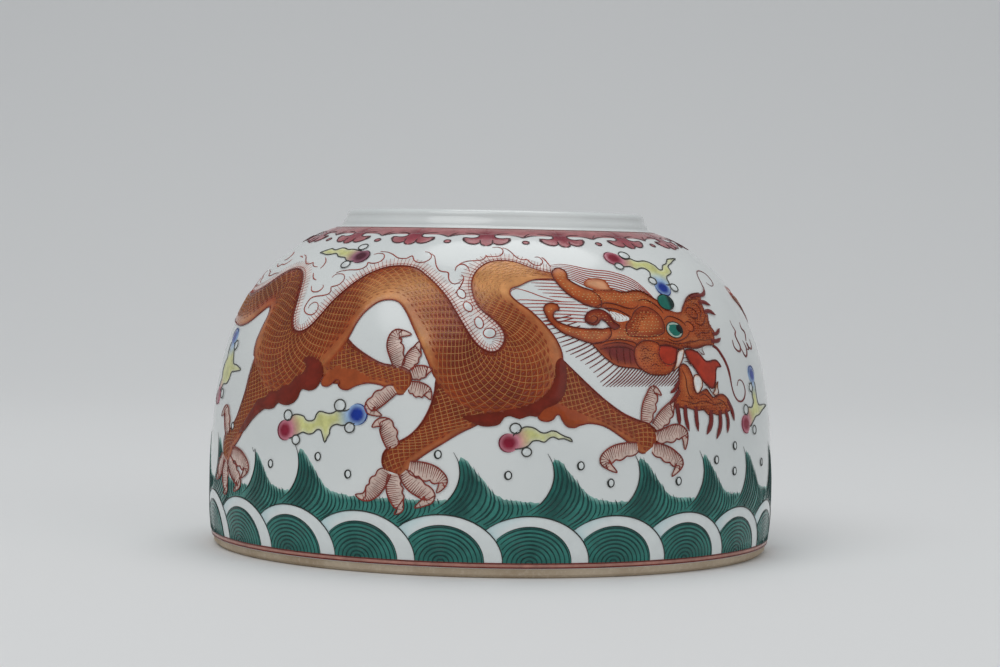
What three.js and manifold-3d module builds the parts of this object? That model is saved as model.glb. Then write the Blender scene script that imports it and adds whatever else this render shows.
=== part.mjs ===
// A porcelain brush washer of the horse-hoof form: a wide low jar whose shoulder closes in to a short
// collar round the mouth. Millimetres, +Z up, origin at the centre of the foot on the table.
// The front of the decoration faces -Y.
//
// It is one fired piece, so its nodes are the layers that it is built up from: the bare paste that is
// thrown and turned, the three coats of glaze fused to it, and the enamels fired on over the glaze.
import * as THREE from "three";
import Module from "manifold-3d";

const wasm = await Module();
wasm.setup();

// Outside form, measured on the glazed surface
const bodyRadius = 60;
const bellyHeight = 11;
const domeHeight = 59.6; // from the belly to where the shoulder's curve would close over the axis
const domeRoundness = 2.74; // exponents of the shoulder's superellipse
const domeFullness = 3.42;
const lowerWallArc = 65; // radius of the slight taper below the belly

// Collar and lip
const collarRadius = 31.8;
const neckSpread = 1.9; // from the collar out to where the shoulder ends
const collarHeight = 2.35; // from the neck up to where the lip starts to round over
const neckFillet = 0.9;
const neckFilletReach = 0.9; // how far the fillet's top stands out from the collar
const neckFilletSag = 0.2;
const lipHeight = 1.5;
const collarThickness = 3.3;

// Walls and floor, glaze included
const wallThickness = 3.8;
const floorThickness = 4.6;
const floorFillet = 9;
const mouthFillet = 2.5;
const mouthFilletReach = 5; // out under the shoulder

// Foot: the ring is left bare of glaze
const footBareHeight = 1.9;
const footStep = 0.16; // the glaze stands this far out from the bare foot
const footTaper = 0.9; // the bare foot draws in by this much down to the table
const footChamfer = 0.7;
const footRingWidth = 5.2;
const footRecess = 3.2;
const recessDraft = 0.8;
const footBulge = 0.2;

// Layers
const glazeThickness = 0.35;
const fusedGap = 0.06; // keeps one layer's facets clear of the next one's
const coatMeeting = 0.05; // half the parting of the two coats on the crest of the lip
const enamelGap = 0.15;
const enamelThickness = 0.2;

// Iron-red lines round the foot and the neck
const lowerLineStart = 2.05;
const lowerLineWidth = 0.4;
const lineSpacing = 0.4;
const upperLineWidth = 0.4;
const neckLineDrop = 0.4; // out from the root of the collar
const neckLineWidth = 0.5;
const shoulderBandWidth = 2.5;

// Painted enamels. Their outlines are laid over the wall as [degrees from the front, climb], where a
// climb is the way up the wall from the table. In the drawings below it is in hundredths of the whole
// climb to the neck, so that they fit the wall.
const enamelSpacing = 0.3; // clear between neighbouring enamels
const moundCount = 22;
const firstMound = -8.8;
const moundCrown = 16.5;
const moundReach = 0.71; // half a mound's width, as a share of the way to the next one
const moundColumns = 6;
const seaTrough = 19.9;
const seaCrest = 31.7;
const seaColumn = 2.8; // degrees between the places along the sea's lower edge
const crestRoom = 1; // degrees left clear between a crest's back and the next crest
const lappetCount = 16;
const firstLappet = -2.3;
const lappetDrop = 5.7; // below the middle of the band
const toeWidth = 2.2;

// Fineness of the turned surfaces
const turns = 48;
const facetBow = 0.12; // how far an enamel's facet may lie inside the wall's curve
const weldFineness = 1000; // places closer than one part of this are one

const fullTurn = THREE.MathUtils.radToDeg(2 * Math.PI);
const halfTurn = fullTurn / 2;
const domeSteps = 9;
const innerDomeSteps = 5;
const bellySteps = 2;
const roundSteps = 3;
const filletSteps = 2;
const trackDomeSteps = 160; // of the fine track that enamels are laid by
const trackBellySteps = 40;
const stepShortening = 1.6; // exponent by which the wall's steps shorten as it flattens

const neckRadius = collarRadius + neckSpread;
const neckHeight = shoulderHeight(neckRadius);
const footBareRadius = skinRadius(footBareHeight) - footStep;
const footContactRadius = footBareRadius - footTaper;
const lipStart = neckHeight + collarHeight;
const height = lipStart + lipHeight;
const mouthRadius = collarRadius - collarThickness;
const floorHeight = footRecess + floorThickness;

const point = (r, z) => new THREE.Vector2(r, z);

// Height of the glazed shoulder at a radius.
function shoulderHeight(radius) {
  return bellyHeight + domeHeight * (1 - (radius / bodyRadius) ** domeFullness) ** (1 / domeRoundness);
}

// Radius of the glazed outside at a height between the foot and the neck.
function skinRadius(z) {
  if (z < bellyHeight) {
    return bodyRadius - (lowerWallArc - Math.sqrt(lowerWallArc ** 2 - (bellyHeight - z) ** 2));
  }
  const rise = (z - bellyHeight) / domeHeight;
  return bodyRadius * (1 - rise ** domeRoundness) ** (1 / domeFullness);
}

// The outside wall from one height to another, in steps that shorten as the shoulder flattens.
function wallPoints(from, to, steps) {
  const points = [];
  for (let i = 0; i <= steps; i++) {
    const share = 1 - (1 - i / steps) ** stepShortening;
    const z = from + (to - from) * share;
    points.push(point(skinRadius(z), z));
  }
  return points;
}

// A quarter-round or similar curve between two points, pulled towards a corner.
function roundCorner(start, corner, end, steps) {
  return new THREE.QuadraticBezierCurve(start, corner, end).getPoints(steps);
}

// A polyline moved sideways by a distance, to the left of its direction when that is positive.
function moved(points, distance) {
  return points.map((p, i) => {
    const before = points[Math.max(i - 1, 0)];
    const after = points[Math.min(i + 1, points.length - 1)];
    const into = p.clone().sub(before);
    const out = after.clone().sub(p);
    if (i === 0) into.copy(out);
    if (i === points.length - 1) out.copy(into);
    const normal = point(-into.y, into.x).normalize().add(point(-out.y, out.x).normalize());
    normal.normalize();
    const spread = normal.dot(point(-into.y, into.x).normalize());
    return p.clone().addScaledVector(normal, distance / spread);
  });
}

function turned(name, material, profile) {
  const closed = [...profile];
  const last = closed[closed.length - 1];
  const onAxis = closed[0].x === 0 && last.x === 0;
  if (!onAxis && !closed[0].equals(last)) closed.push(closed[0].clone());
  const geometry = new THREE.LatheGeometry(closed, turns);
  geometry.rotateX(Math.PI / 2);
  const mesh = new THREE.Mesh(geometry, material);
  mesh.name = name;
  return mesh;
}

// A coat between two distances inside the glazed outline, ending square at both ends.
function coat(name, material, outline, outerDepth, innerDepth) {
  const outer = moved(outline, outerDepth);
  const inner = moved(outline, innerDepth);
  return turned(name, material, [...outer, ...inner.reverse()]);
}

// Outline of the glazed outside, from the glaze line above the foot up to the crest of the lip.
function outsideOutline() {
  const wall = [
    ...wallPoints(footBareHeight, bellyHeight, bellySteps),
    ...wallPoints(bellyHeight, neckHeight, domeSteps).slice(1),
  ];
  const root = wall[wall.length - 1];
  const filletTop = point(collarRadius + neckFilletReach, neckHeight + neckFillet);
  const filletCorner = point(collarRadius + neckFillet, neckHeight + neckFilletSag);
  const collarTop = point(collarRadius, lipStart);
  const crest = point(collarRadius - collarThickness / 2, height);
  return [
    ...wall,
    ...roundCorner(root, filletCorner, filletTop, filletSteps).slice(1),
    ...roundCorner(collarTop, point(collarRadius, height), crest, roundSteps),
  ];
}

// Outline of the glazed inside, from the crest of the lip down to the middle of the floor.
function insideOutline() {
  const crest = point(collarRadius - collarThickness / 2, height);
  const mouthTop = point(mouthRadius, lipStart);
  const underNeck = neckHeight - wallThickness;
  const underCollar = point(mouthRadius, underNeck + mouthFillet);
  const wall = moved(wallPoints(bellyHeight, neckHeight, innerDomeSteps), wallThickness);
  const clearOfFillets = (p) => p.x > mouthRadius + mouthFilletReach && p.y > floorHeight + floorFillet;
  const kept = wall.filter(clearOfFillets).reverse();
  const wallFoot = point(bodyRadius - wallThickness, floorHeight + floorFillet);
  const floorEdge = point(bodyRadius - wallThickness - floorFillet, floorHeight);
  const corner = point(wallFoot.x, floorHeight);
  return [
    ...roundCorner(crest, point(mouthRadius, height), mouthTop, roundSteps),
    ...roundCorner(underCollar, point(mouthRadius, underNeck), kept[0], filletSteps),
    ...kept.slice(1),
    ...roundCorner(wallFoot, corner, floorEdge, roundSteps),
    point(0, floorHeight),
  ];
}

const pasteDepth = glazeThickness + fusedGap;
const outside = outsideOutline();
const inside = insideOutline();

// The outside outline at a depth in the wall. It keeps its end on the crest of the lip.
function outsideAt(depth) {
  const line = moved(outside, depth);
  line[line.length - 1].x = outside[outside.length - 1].x;
  return line;
}

// The inside outline at a depth in the wall, from the crest of the lip to the axis.
function insideAt(depth) {
  const line = moved(inside, depth);
  line[0].x = inside[0].x;
  line[line.length - 1].x = 0;
  return line;
}

// The bare paste: one thrown and turned piece with its foot ring, floor, wall and collar.
function pasteProfile() {
  const footInner = footContactRadius - footRingWidth;
  const recessTop = footRecess + pasteDepth;
  const outer = outsideAt(pasteDepth);
  return [
    point(0, recessTop),
    point(footInner - recessDraft, recessTop),
    point(footInner, 0),
    point(footContactRadius, 0),
    point((footContactRadius + footBareRadius) / 2 + footBulge, footChamfer),
    point(footBareRadius, footBareHeight),
    point(outer[0].x, footBareHeight),
    ...outer.slice(1),
    ...insideAt(pasteDepth).slice(1),
  ];
}

// The outer coat runs from just above the bare foot to the crest of the lip.
function outerCoatProfile() {
  const face = outsideAt(0);
  const back = outsideAt(glazeThickness);
  for (const line of [face, back]) {
    line[0].y += enamelGap;
    line[line.length - 1].x += coatMeeting;
  }
  return [...face, ...back.reverse()];
}

// The inner coat runs from the crest of the lip down over the floor.
function innerCoatProfile() {
  const face = insideAt(0);
  const back = insideAt(glazeThickness);
  for (const line of [face, back]) line[0].x -= coatMeeting;
  return [...back.reverse(), ...face];
}

// The coat on the underside fills the recess inside the foot ring.
function baseCoatProfile() {
  const radius = footContactRadius - footRingWidth - recessDraft - fusedGap;
  return [
    point(0, footRecess),
    point(radius, footRecess),
    point(radius, footRecess + glazeThickness),
    point(0, footRecess + glazeThickness),
  ];
}

// A ring of enamel fired on over the glaze along part of the outside wall.
function enamelRing(name, material, wallPart) {
  return coat(name, material, wallPart, -enamelGap - enamelThickness, -enamelGap);
}

// The two lines just above the bare foot.
function footLines() {
  const upperLineStart = lowerLineStart + lowerLineWidth + lineSpacing;
  const line = (from, width) => [from, from + width].map((z) => point(skinRadius(z), z));
  return [
    enamelRing("foot_line_lower", materials.ironRed, line(lowerLineStart, lowerLineWidth)),
    enamelRing("foot_line_upper", materials.ironRed, line(upperLineStart, upperLineWidth)),
  ];
}

// The line at the root of the collar, and the border's inner edge beyond it
const neckLineInner = neckRadius + neckLineDrop;
const bandInner = neckLineInner + neckLineWidth + lineSpacing / 2;

// The neck line lies over the top of the shoulder.
function neckLine() {
  const radii = [neckLineInner + neckLineWidth, neckLineInner];
  return enamelRing("neck_line", materials.ironRed, radii.map((r) => point(r, shoulderHeight(r))));
}

// The outside wall in fine steps from the table to the neck, each with its climb.
const wallTrack = [{ at: point(footContactRadius, 0), climb: 0 }];
for (const at of [
  ...wallPoints(footBareHeight, bellyHeight, trackBellySteps),
  ...wallPoints(bellyHeight, neckHeight, trackDomeSteps).slice(1),
]) {
  const last = wallTrack[wallTrack.length - 1];
  wallTrack.push({ at, climb: last.climb + last.at.distanceTo(at) });
}
const neckClimb = wallTrack[wallTrack.length - 1].climb;
const climbOf = (hundredths) => (neckClimb * hundredths) / 100;

// The climb at which the wall reaches a height.
function climbTo(z) {
  const i = Math.max(1, wallTrack.findIndex((step) => step.at.y >= z));
  const [low, high] = [wallTrack[i - 1], wallTrack[i]];
  return low.climb + ((high.climb - low.climb) * (z - low.at.y)) / (high.at.y - low.at.y);
}

// A place over the wall, some way out from it.
function overWall([degrees, climb], out) {
  const found = wallTrack.findIndex((step) => step.climb >= climb);
  const i = found < 1 ? wallTrack.length - 1 : found;
  const [low, high] = [wallTrack[i - 1], wallTrack[i]];
  const along = high.at.clone().sub(low.at);
  const share = (climb - low.climb) / (high.climb - low.climb);
  const outward = point(along.y, -along.x).normalize();
  const { x, y } = low.at.clone().addScaledVector(along, share).addScaledVector(outward, out);
  const angle = THREE.MathUtils.degToRad(degrees);
  return new THREE.Vector3(x * Math.sin(angle), -x * Math.cos(angle), y);
}

// A flat prism one unit thick over an outline that doesn't cross itself.
function prism(outline) {
  const contour = outline.map(([x, y]) => point(x, y));
  if (THREE.ShapeUtils.isClockWise(contour)) contour.reverse();
  const count = contour.length;
  const corners = [];
  for (const level of [0, 1]) for (const { x, y } of contour) corners.push(x, y, level);
  const faces = [];
  for (const [a, b, c] of THREE.ShapeUtils.triangulateShape(contour, [])) {
    faces.push(c, b, a, a + count, b + count, c + count);
  }
  for (let a = 0; a < count; a++) {
    const b = (a + 1) % count;
    faces.push(a, b, b + count, a, b + count, a + count);
  }
  return new wasm.Manifold(new wasm.Mesh({
    numProp: 3,
    vertProperties: new Float32Array(corners),
    triVerts: new Uint32Array(faces),
  }));
}

const joined = (outlines) => outlines.map(prism).reduce((whole, piece) => whole.add(piece));

// An outline with its edge moved out by a distance in millimetres.
function grown(outline, distance) {
  const contour = outline.map(([x, y]) => point(x, y));
  const outside = THREE.ShapeUtils.isClockWise(contour) ? 1 : -1;
  const wide = THREE.MathUtils.radToDeg(distance / bodyRadius);
  return outline.map(([x, y], i) => {
    const before = contour[(i + contour.length - 1) % contour.length];
    const after = contour[(i + 1) % contour.length];
    const into = contour[i].clone().sub(before).normalize();
    const out = after.clone().sub(contour[i]).normalize();
    const way = into.add(out).normalize();
    return [x - way.y * wide * outside, y + way.x * distance * outside];
  });
}

// The flat top of a joined prism as places and faces.
function flatTop(solid) {
  const { vertProperties, triVerts, numProp } = solid.getMesh();
  const places = [];
  for (let i = 0; i < vertProperties.length; i += numProp) places.push([...vertProperties.slice(i, i + 2)]);
  const onTop = (corner) => vertProperties[corner * numProp + 2] > 0.5;
  const faces = [];
  for (let i = 0; i < triVerts.length; i += 3) {
    const face = [...triVerts.slice(i, i + 3)];
    if (face.every(onTop)) faces.push(face);
  }
  return welded([{ places, faces }]);
}

// Drawings as one, joined where they meet, also where the last meets the first round the pot.
function welded(drawings) {
  const places = [];
  const faces = [];
  const known = new Map();
  for (const drawing of drawings) {
    const placeOf = (corner) => {
      const [x, y] = drawing.places[corner];
      const angle = ((x % fullTurn) + fullTurn) % fullTurn;
      const [across, up] = [angle, y].map((n) => Math.round(n * weldFineness));
      const key = `${across % (fullTurn * weldFineness)},${up}`;
      if (!known.has(key)) known.set(key, places.push([angle, y]) - 1);
      return known.get(key);
    };
    for (const corners of drawing.faces) {
      const face = corners.map(placeOf);
      if (new Set(face).size === face.length) faces.push(face);
    }
  }
  return { places, faces };
}

// A drawing turned round the pot.
function aroundBy({ places, faces }, degrees) {
  return { places: places.map(([x, y]) => [x + degrees, y]), faces };
}

// Halfway between two places, the short way round the pot.
function halfway(a, b) {
  const apart = ((b[0] - a[0] + fullTurn + halfTurn) % fullTurn) - halfTurn;
  return [a[0] + apart / 2, (a[1] + b[1]) / 2];
}

// Splits the edges that would cut too far inside the wall's curve, until none is left.
function bentToWall({ places, faces }) {
  for (let splitting = true; splitting; ) {
    splitting = false;
    const middles = new Map();
    const middleOf = (a, b) => {
      const key = a < b ? `${a},${b}` : `${b},${a}`;
      if (!middles.has(key)) {
        const middle = halfway(places[a], places[b]);
        const chord = overWall(places[a], 0).lerp(overWall(places[b], 0), 0.5);
        const bows = chord.distanceTo(overWall(middle, 0)) > facetBow;
        middles.set(key, bows ? places.push(middle) - 1 : -1);
      }
      return middles.get(key);
    };
    const next = [];
    for (const [a, b, c] of faces) {
      const [ab, bc, ca] = [middleOf(a, b), middleOf(b, c), middleOf(c, a)];
      const cuts = [ab, bc, ca].filter((middle) => middle >= 0).length;
      if (cuts) splitting = true;
      if (cuts === 3) next.push([a, ab, ca], [ab, b, bc], [ca, bc, c], [ab, bc, ca]);
      else if (cuts === 0) next.push([a, b, c]);
      else if (ab >= 0 && bc >= 0) next.push([a, ab, c], [ab, bc, c], [ab, b, bc]);
      else if (bc >= 0 && ca >= 0) next.push([b, bc, a], [bc, ca, a], [bc, c, ca]);
      else if (ca >= 0 && ab >= 0) next.push([c, ca, b], [ca, ab, b], [ca, a, ab]);
      else if (ab >= 0) next.push([a, ab, c], [ab, b, c]);
      else if (bc >= 0) next.push([b, bc, a], [bc, c, a]);
      else next.push([c, ca, b], [ca, a, b]);
    }
    faces = next;
  }
  return { places, faces };
}

// An enamel of even thickness lying over the wall on a flat drawing.
function enamel(name, material, drawing) {
  const { places, faces } = bentToWall(drawing);
  const count = places.length;
  const levels = [enamelGap, enamelGap + enamelThickness];
  const corners = levels.flatMap((out) => places.map((place) => overWall(place, out)));
  const sides = new Map();
  const triangles = [];
  for (const [a, b, c] of faces) {
    triangles.push(c, b, a, a + count, b + count, c + count);
    for (const [from, to] of [[a, b], [b, c], [c, a]]) sides.set(`${from},${to}`, [from, to]);
  }
  for (const [from, to] of sides.values()) {
    if (sides.has(`${to},${from}`)) continue;
    triangles.push(from, to, to + count, from, to + count, from + count);
  }
  const geometry = new THREE.BufferGeometry().setFromPoints(corners);
  geometry.setIndex(triangles);
  geometry.computeVertexNormals();
  const mesh = new THREE.Mesh(geometry, material);
  mesh.name = name;
  return mesh;
}

// The mounds: overlapping half rounds that stand on the upper foot line.
const moundSpacing = fullTurn / moundCount;
const moundFoot = climbTo(lowerLineStart + lowerLineWidth + lineSpacing + upperLineWidth) + enamelSpacing;

function moundTop(degrees) {
  const past = (((degrees - firstMound) % moundSpacing) + moundSpacing) % moundSpacing;
  const off = Math.min(past, moundSpacing - past) / (moundReach * moundSpacing);
  return moundFoot + (climbOf(moundCrown) - moundFoot) * Math.sqrt(1 - off ** 2);
}

function waveMounds() {
  const places = [];
  const faces = [];
  for (let i = 0; i < moundCount * moundColumns; i++) {
    const degrees = firstMound + (i * moundSpacing) / moundColumns;
    places.push([degrees, moundFoot], [degrees, moundTop(degrees)]);
    const [low, high] = [i * 2, i * 2 + 1];
    const [nextLow, nextHigh] = [2, 3].map((step) => (i * 2 + step) % (moundCount * moundColumns * 2));
    faces.push([low, nextLow, nextHigh], [low, nextHigh, high]);
  }
  return enamel("wave_mounds", materials.seaWhite, { places, faces });
}

// The sea's crests over the front half, and a crest's outline as [degrees from its tip, share of its rise].
// The back half repeats the front.
const crests = [-71, -52.7, -39.8, -6.4, 11, 28.2, 44.2, 59.4, 76, 92.5];
const crestOutline = [
  [-1.5, 0], [-0.5, 0.12], [0.5, 0.33], [0.9, 0.57], [0.6, 0.81], [0, 1], [2.5, 0.84], [4.5, 0.54],
  [6.5, 0.26], [9, 0.06],
];

function seaOutlines() {
  const lead = crestOutline[0][0];
  return crests.map((tip, i) => {
    const start = tip + lead;
    const end = (i + 1 < crests.length ? crests[i + 1] : crests[0] + halfTurn) + lead;
    const top = crestOutline.filter(([x]) => tip + x < end - crestRoom);
    const edge = top.map(([x, share]) => [tip + x, climbOf(seaTrough + share * (seaCrest - seaTrough))]);
    const columns = Math.round((end - start) / seaColumn);
    const foot = Array.from({ length: columns + 1 }, (_, k) => end + ((start - end) * k) / columns);
    return [...edge, [end, climbOf(seaTrough)], ...foot.map((x) => [x, moundTop(x) + enamelSpacing])];
  });
}

// The ruyi border: a band below the neck line with lappets, each drawn as half its outline
const halfLappet = [
  [2.4, 0.0], [3.3, 0.33], [6, 0.33], [6.7, 0.5], [5.3, 0.8], [3.6, 0.9], [1.9, 0.76], [1.6, 0.88],
  [0.6, 1],
];

function ruyiBorder() {
  const bandTop = climbTo(shoulderHeight(bandInner));
  const bandFoot = climbTo(shoulderHeight(bandInner + shoulderBandWidth));
  const spacing = fullTurn / lappetCount;
  const outlines = [];
  for (let i = 0; i < lappetCount; i++) {
    const middle = firstLappet + i * spacing;
    const steps = [-0.5, -0.25, 0, 0.25, 0.5].map((share) => middle + share * spacing);
    outlines.push([
      ...steps.map((x) => [x, bandFoot]),
      ...[...steps].reverse().map((x) => [x, bandTop]),
    ]);
    const bandMiddle = bandFoot + shoulderBandWidth / 2;
    const right = halfLappet.map(([x, share]) => [x, bandMiddle - share * lappetDrop]);
    outlines.push([
      ...right.map(([x, y]) => [middle + x, y]),
      ...[...right].reverse().map(([x, y]) => [middle - x, y]),
    ]);
  }
  return enamel("shoulder_band", materials.puce, flatTop(joined(outlines)));
}

// The dragon's body from the tail to the neck, as [back edge, belly edge] places
const bodyStations = [
  [-103, 72.3, -102.6, 71.2], [-99, 72, -98.4, 68.6], [-91, 70.3, -90.3, 63.5], [-80, 69.9, -79, 61.1],
  [-73, 70.4, -71.5, 60.4], [-67, 73, -66, 61.6], [-63, 76.1, -62, 64.1], [-59, 78.4, -59.3, 66.2],
  [-55, 78.5, -57.9, 66.2], [-51.8, 76.4, -57.2, 63.8], [-49.6, 72.5, -57.8, 59.9],
  [-48.2, 67.9, -58.2, 55.8], [-47.2, 63.5, -56.8, 51.5], [-45.6, 60.7, -51, 44.2],
  [-43.4, 60.2, -44.5, 43.8], [-41.2, 61.6, -39.4, 46.4], [-39, 65.2, -35, 50.7],
  [-37.2, 68.9, -31.7, 55.6], [-35, 72.5, -30.1, 59.5], [-32.4, 75.9, -29.2, 63],
  [-29.4, 78.6, -27.8, 66.2], [-26, 80.3, -25.4, 69], [-22, 80.7, -22.8, 69.8], [-18.5, 79.8, -20.4, 69],
  [-15.5, 77.3, -18.2, 66.1], [-12.5, 74.3, -16.4, 62.5], [-9.8, 70.7, -14.4, 58.3],
  [-7.6, 66.7, -12.7, 54.2], [-5.6, 62.9, -11, 49.8], [-4, 59.9, -8, 43.8], [-2.3, 57.6, -3, 39.7],
  [-0.3, 56.5, 3, 39.9], [1.3, 57.1, 9.4, 42], [2.3, 59.3, 13.6, 46.6], [2.2, 61.5, 14.2, 54.5],
  [1, 63.8, 13.1, 59.2], [-0.8, 65.8, 10.9, 63.4], [-2.7, 67.9, 8, 67.3], [-4, 70.4, 5.4, 69.8],
  [-4.8, 73.6, 3.8, 71.8], [-4.9, 76.6, 3.7, 73.4], [-4.2, 79.1, 4.3, 74.1], [-2.7, 81.4, 5.3, 74.5],
  [-0.5, 83, 6.2, 75], [2.5, 83.4, 7.3, 75.8], [5.5, 82.7, 8.7, 76.6], [8.5, 81, 10.3, 77],
  [14.2, 79.1, 14.4, 77.1],
];
// Its legs from the body to the foot, as [one edge, other edge] places
const legStations = [
  [
    [-10.8, 49.2, 6, 47.4], [-10.9, 45.6, 1, 41.2], [-13.1, 38.2, -5.6, 36.1], [-15, 35.3, -8.8, 33.4],
    [-19, 32.3, -13.9, 28.7], [-20.2, 30.5, -14.6, 27.1], [-20.4, 28.2, -15.4, 25.9],
    [-18.6, 25.1, -17.2, 25],
  ],
  [
    [13.5, 55.3, 8.4, 43.8], [16, 52, 12.3, 41.5], [19, 48.1, 15.2, 38.7], [22, 44.7, 19, 38.8],
    [25.5, 41.5, 22, 37.9], [31.2, 38.7, 27.2, 33.4], [33, 36.6, 28.4, 32], [33.2, 34.3, 29.8, 31.1],
    [32.4, 32.3, 31.2, 31.5],
  ],
  [
    [-57.2, 53.1, -40, 48.7], [-57.8, 48, -36.5, 46.9], [-58.2, 43.5, -48, 40.2],
    [-59.4, 39.4, -53.6, 36.6], [-61, 35.9, -56.9, 33.3], [-66, 31.5, -61, 28.4], [-66.8, 28.9, -62, 26.4],
    [-65.4, 24.6, -63.6, 24.2],
  ],
  [
    [-30.8, 59.4, -36.5, 50.6], [-28.4, 57, -33.6, 47.6], [-25, 54.5, -30, 47.1], [-22, 52.9, -26, 47.6],
    [-17, 51.9, -20.2, 46.6], [-15.4, 49.4, -18, 45.1], [-15.6, 47.1, -16.6, 45.3],
  ],
];
// Its toes as middle lines from the foot to the talon's point
const toeLines = [
  [[-18.2, 30.2], [-19.2, 35.1], [-20.2, 37.6], [-21.4, 37.9], [-22.7, 36.7]],
  [[-18.6, 27.4], [-20.9, 23], [-22.2, 20.7], [-23.8, 19.5], [-25.6, 19.8]],
  [[-18, 26.9], [-17.9, 22], [-17.2, 19], [-16.6, 16.9], [-17.7, 16.1]],
  [[-17, 27.1], [-14.4, 23.3], [-12.2, 21.4], [-11.2, 19.7], [-13.8, 17.7]],
  [[-16, 27.9], [-12.4, 26.8], [-9.9, 25.6], [-8.6, 23.8], [-9.7, 21.3]],
  [[-17.6, 47.1], [-20.6, 44.7], [-22.6, 42.5], [-23.2, 41], [-20.8, 39.7]],
  [[-17.8, 50.4], [-19, 55.1], [-19.9, 58.1], [-19.4, 60.4], [-16.4, 60.4]],
  [[-17.2, 50.4], [-15.8, 54.3], [-14.9, 56.9], [-14.6, 58.6]],
  [[-16.6, 49.7], [-13.8, 51], [-12.2, 51.5], [-11.4, 51.7]],
  [[-16.6, 47.9], [-13.8, 46.6], [-12.2, 46], [-11.4, 44]],
  [[30, 33.3], [26, 32.3], [23.2, 31.2], [21.7, 29.3], [24.2, 26.6]],
  [[30.2, 37.6], [31.2, 42.3], [32.2, 45.3], [33, 47.1], [34.6, 45.6]],
  [[31.6, 36.6], [34.6, 39.9], [36.4, 42.3], [38.2, 45.1]],
  [[31.8, 35.1], [35.4, 35.7], [38, 36.5], [39.8, 35.3], [39.8, 31.8]],
  [[31, 33.3], [34.4, 31.5], [36.8, 30], [38.3, 28.2], [36.4, 25.2]],
  [[-64.2, 29.7], [-65.3, 34.6], [-66.2, 36.9], [-67.4, 37.5], [-69.4, 36]],
  [[-65, 26.9], [-67.4, 23], [-68.8, 20.7], [-70.8, 19.2]],
  [[-64.6, 26.4], [-64.8, 21.8], [-64.6, 19], [-64, 16.9], [-65.4, 16.1]],
  [[-63.6, 26.4], [-61, 22.8], [-59, 20.9], [-58, 19.2], [-60, 17.4]],
  [[-62.6, 27.7], [-59, 26.6], [-56.4, 25.4], [-55, 23.6], [-56.8, 21]],
];
const toeTaper = [0.9, 1.1, 1, 0.7, 0.15];
// Its head: skull with cheeks, the two horns, the upper tongue and the lower jaw
const headOutlines = [
  [
    [19.4, 61.2], [19.6, 58.8], [22, 56.1], [24.6, 53.4], [28.6, 52.6], [31.5, 51.5], [35, 50.7],
    [38, 51.7], [39.5, 54.3], [40.3, 57.6], [43, 57.7], [46.5, 57.5], [52.3, 58.3], [54.3, 61.8],
    [53.6, 63.5], [54.2, 66.6], [53.6, 68.1], [55, 73], [51.5, 72.7], [48.5, 71.3], [45.6, 68.6],
    [43.6, 71.4], [41.2, 72.6], [39.2, 71.2], [36.5, 72.7], [33, 73.8], [28, 73.9], [26.4, 77],
    [23.4, 77.5], [21.2, 75.8], [22, 73.8], [19.6, 73.5], [19.4, 69.9], [24, 68.6], [20.8, 67.6],
    [19.3, 65], [21.6, 63.3],
  ],
  [
    [12.8, 77.6], [13.9, 79.6], [15.4, 80.9], [17.2, 79.6], [17.3, 77.2], [20.4, 74.5], [22.5, 73.5],
    [23, 68.9], [20, 69.5], [17, 72], [14.5, 75.5],
  ],
  [
    [10.7, 67.5], [11.5, 69.5], [13.8, 69.1], [12.6, 65.9], [15, 63.8], [20, 62.7], [24.4, 63],
    [24.4, 59.4], [21, 58.8], [17, 60.2], [12.8, 63.1],
  ],
  [
    [42.2, 57.9], [46.5, 57.9], [48.3, 54.2], [52.3, 54], [53.3, 52.5], [51.2, 51.5], [49.3, 47],
    [46, 49.4], [43, 54.5],
  ],
  [
    [38.4, 52.5], [41.2, 54.5], [43, 54.3], [43.6, 51.5], [43.8, 49.2], [47, 46.9], [50, 44.8],
    [53.8, 44.2], [54.8, 41.5], [50, 40.1], [45, 41.5], [37.4, 42.5], [39.2, 48.1],
  ],
];

// The triangles between the two edges of a strip, one after another.
function stripOutlines(stations) {
  return stations.slice(1).flatMap(([x2, y2, x3, y3], i) => {
    const [x0, y0, x1, y1] = stations[i];
    return [[[x0, y0], [x1, y1], [x3, y3]], [[x0, y0], [x3, y3], [x2, y2]]];
  });
}

// A tapering toe along its middle line.
function toeStations(line) {
  return line.map(([x, y], i) => {
    const [before, after] = [line[Math.max(i - 1, 0)], line[Math.min(i + 1, line.length - 1)]];
    const across = point(before[1] - after[1], after[0] - before[0]).normalize();
    const half = (toeWidth / 2) * toeTaper[i + toeTaper.length - line.length];
    const wide = THREE.MathUtils.radToDeg(half / bodyRadius);
    return [x + across.x * wide, y + across.y * half, x - across.x * wide, y - across.y * half];
  });
}

// A strip or an outline with its climbs fitted to the wall.
const fitted = (outline) => outline.map((place) => place.map((n, i) => (i % 2 ? climbOf(n) : n)));

const limbOutlines = [
  ...legStations.map(fitted),
  ...toeLines.map(fitted).map(toeStations),
].flatMap(stripOutlines);

function dragons() {
  const outlines = [...stripOutlines(fitted(bodyStations)), ...limbOutlines, ...headOutlines.map(fitted)];
  const front = flatTop(joined(outlines));
  return [
    enamel("dragon_front", materials.ironRed, front),
    enamel("dragon_back", materials.ironRed, aroundBy(front, halfTurn)),
  ];
}

// The sea keeps clear of the dragons' feet, and has no specks between their toes. Its half is drawn
// once, and goes round twice.
function seaBand() {
  const clear = limbOutlines.map((outline) => grown(outline, enamelSpacing));
  const bodies = joined(seaOutlines()).subtract(joined(clear)).decompose();
  const half = flatTop(bodies.reduce((most, body) => (body.volume() > most.volume() ? body : most)));
  return enamel("sea_band", materials.seaGreen, welded([half, aroundBy(half, halfTurn)]));
}

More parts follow.
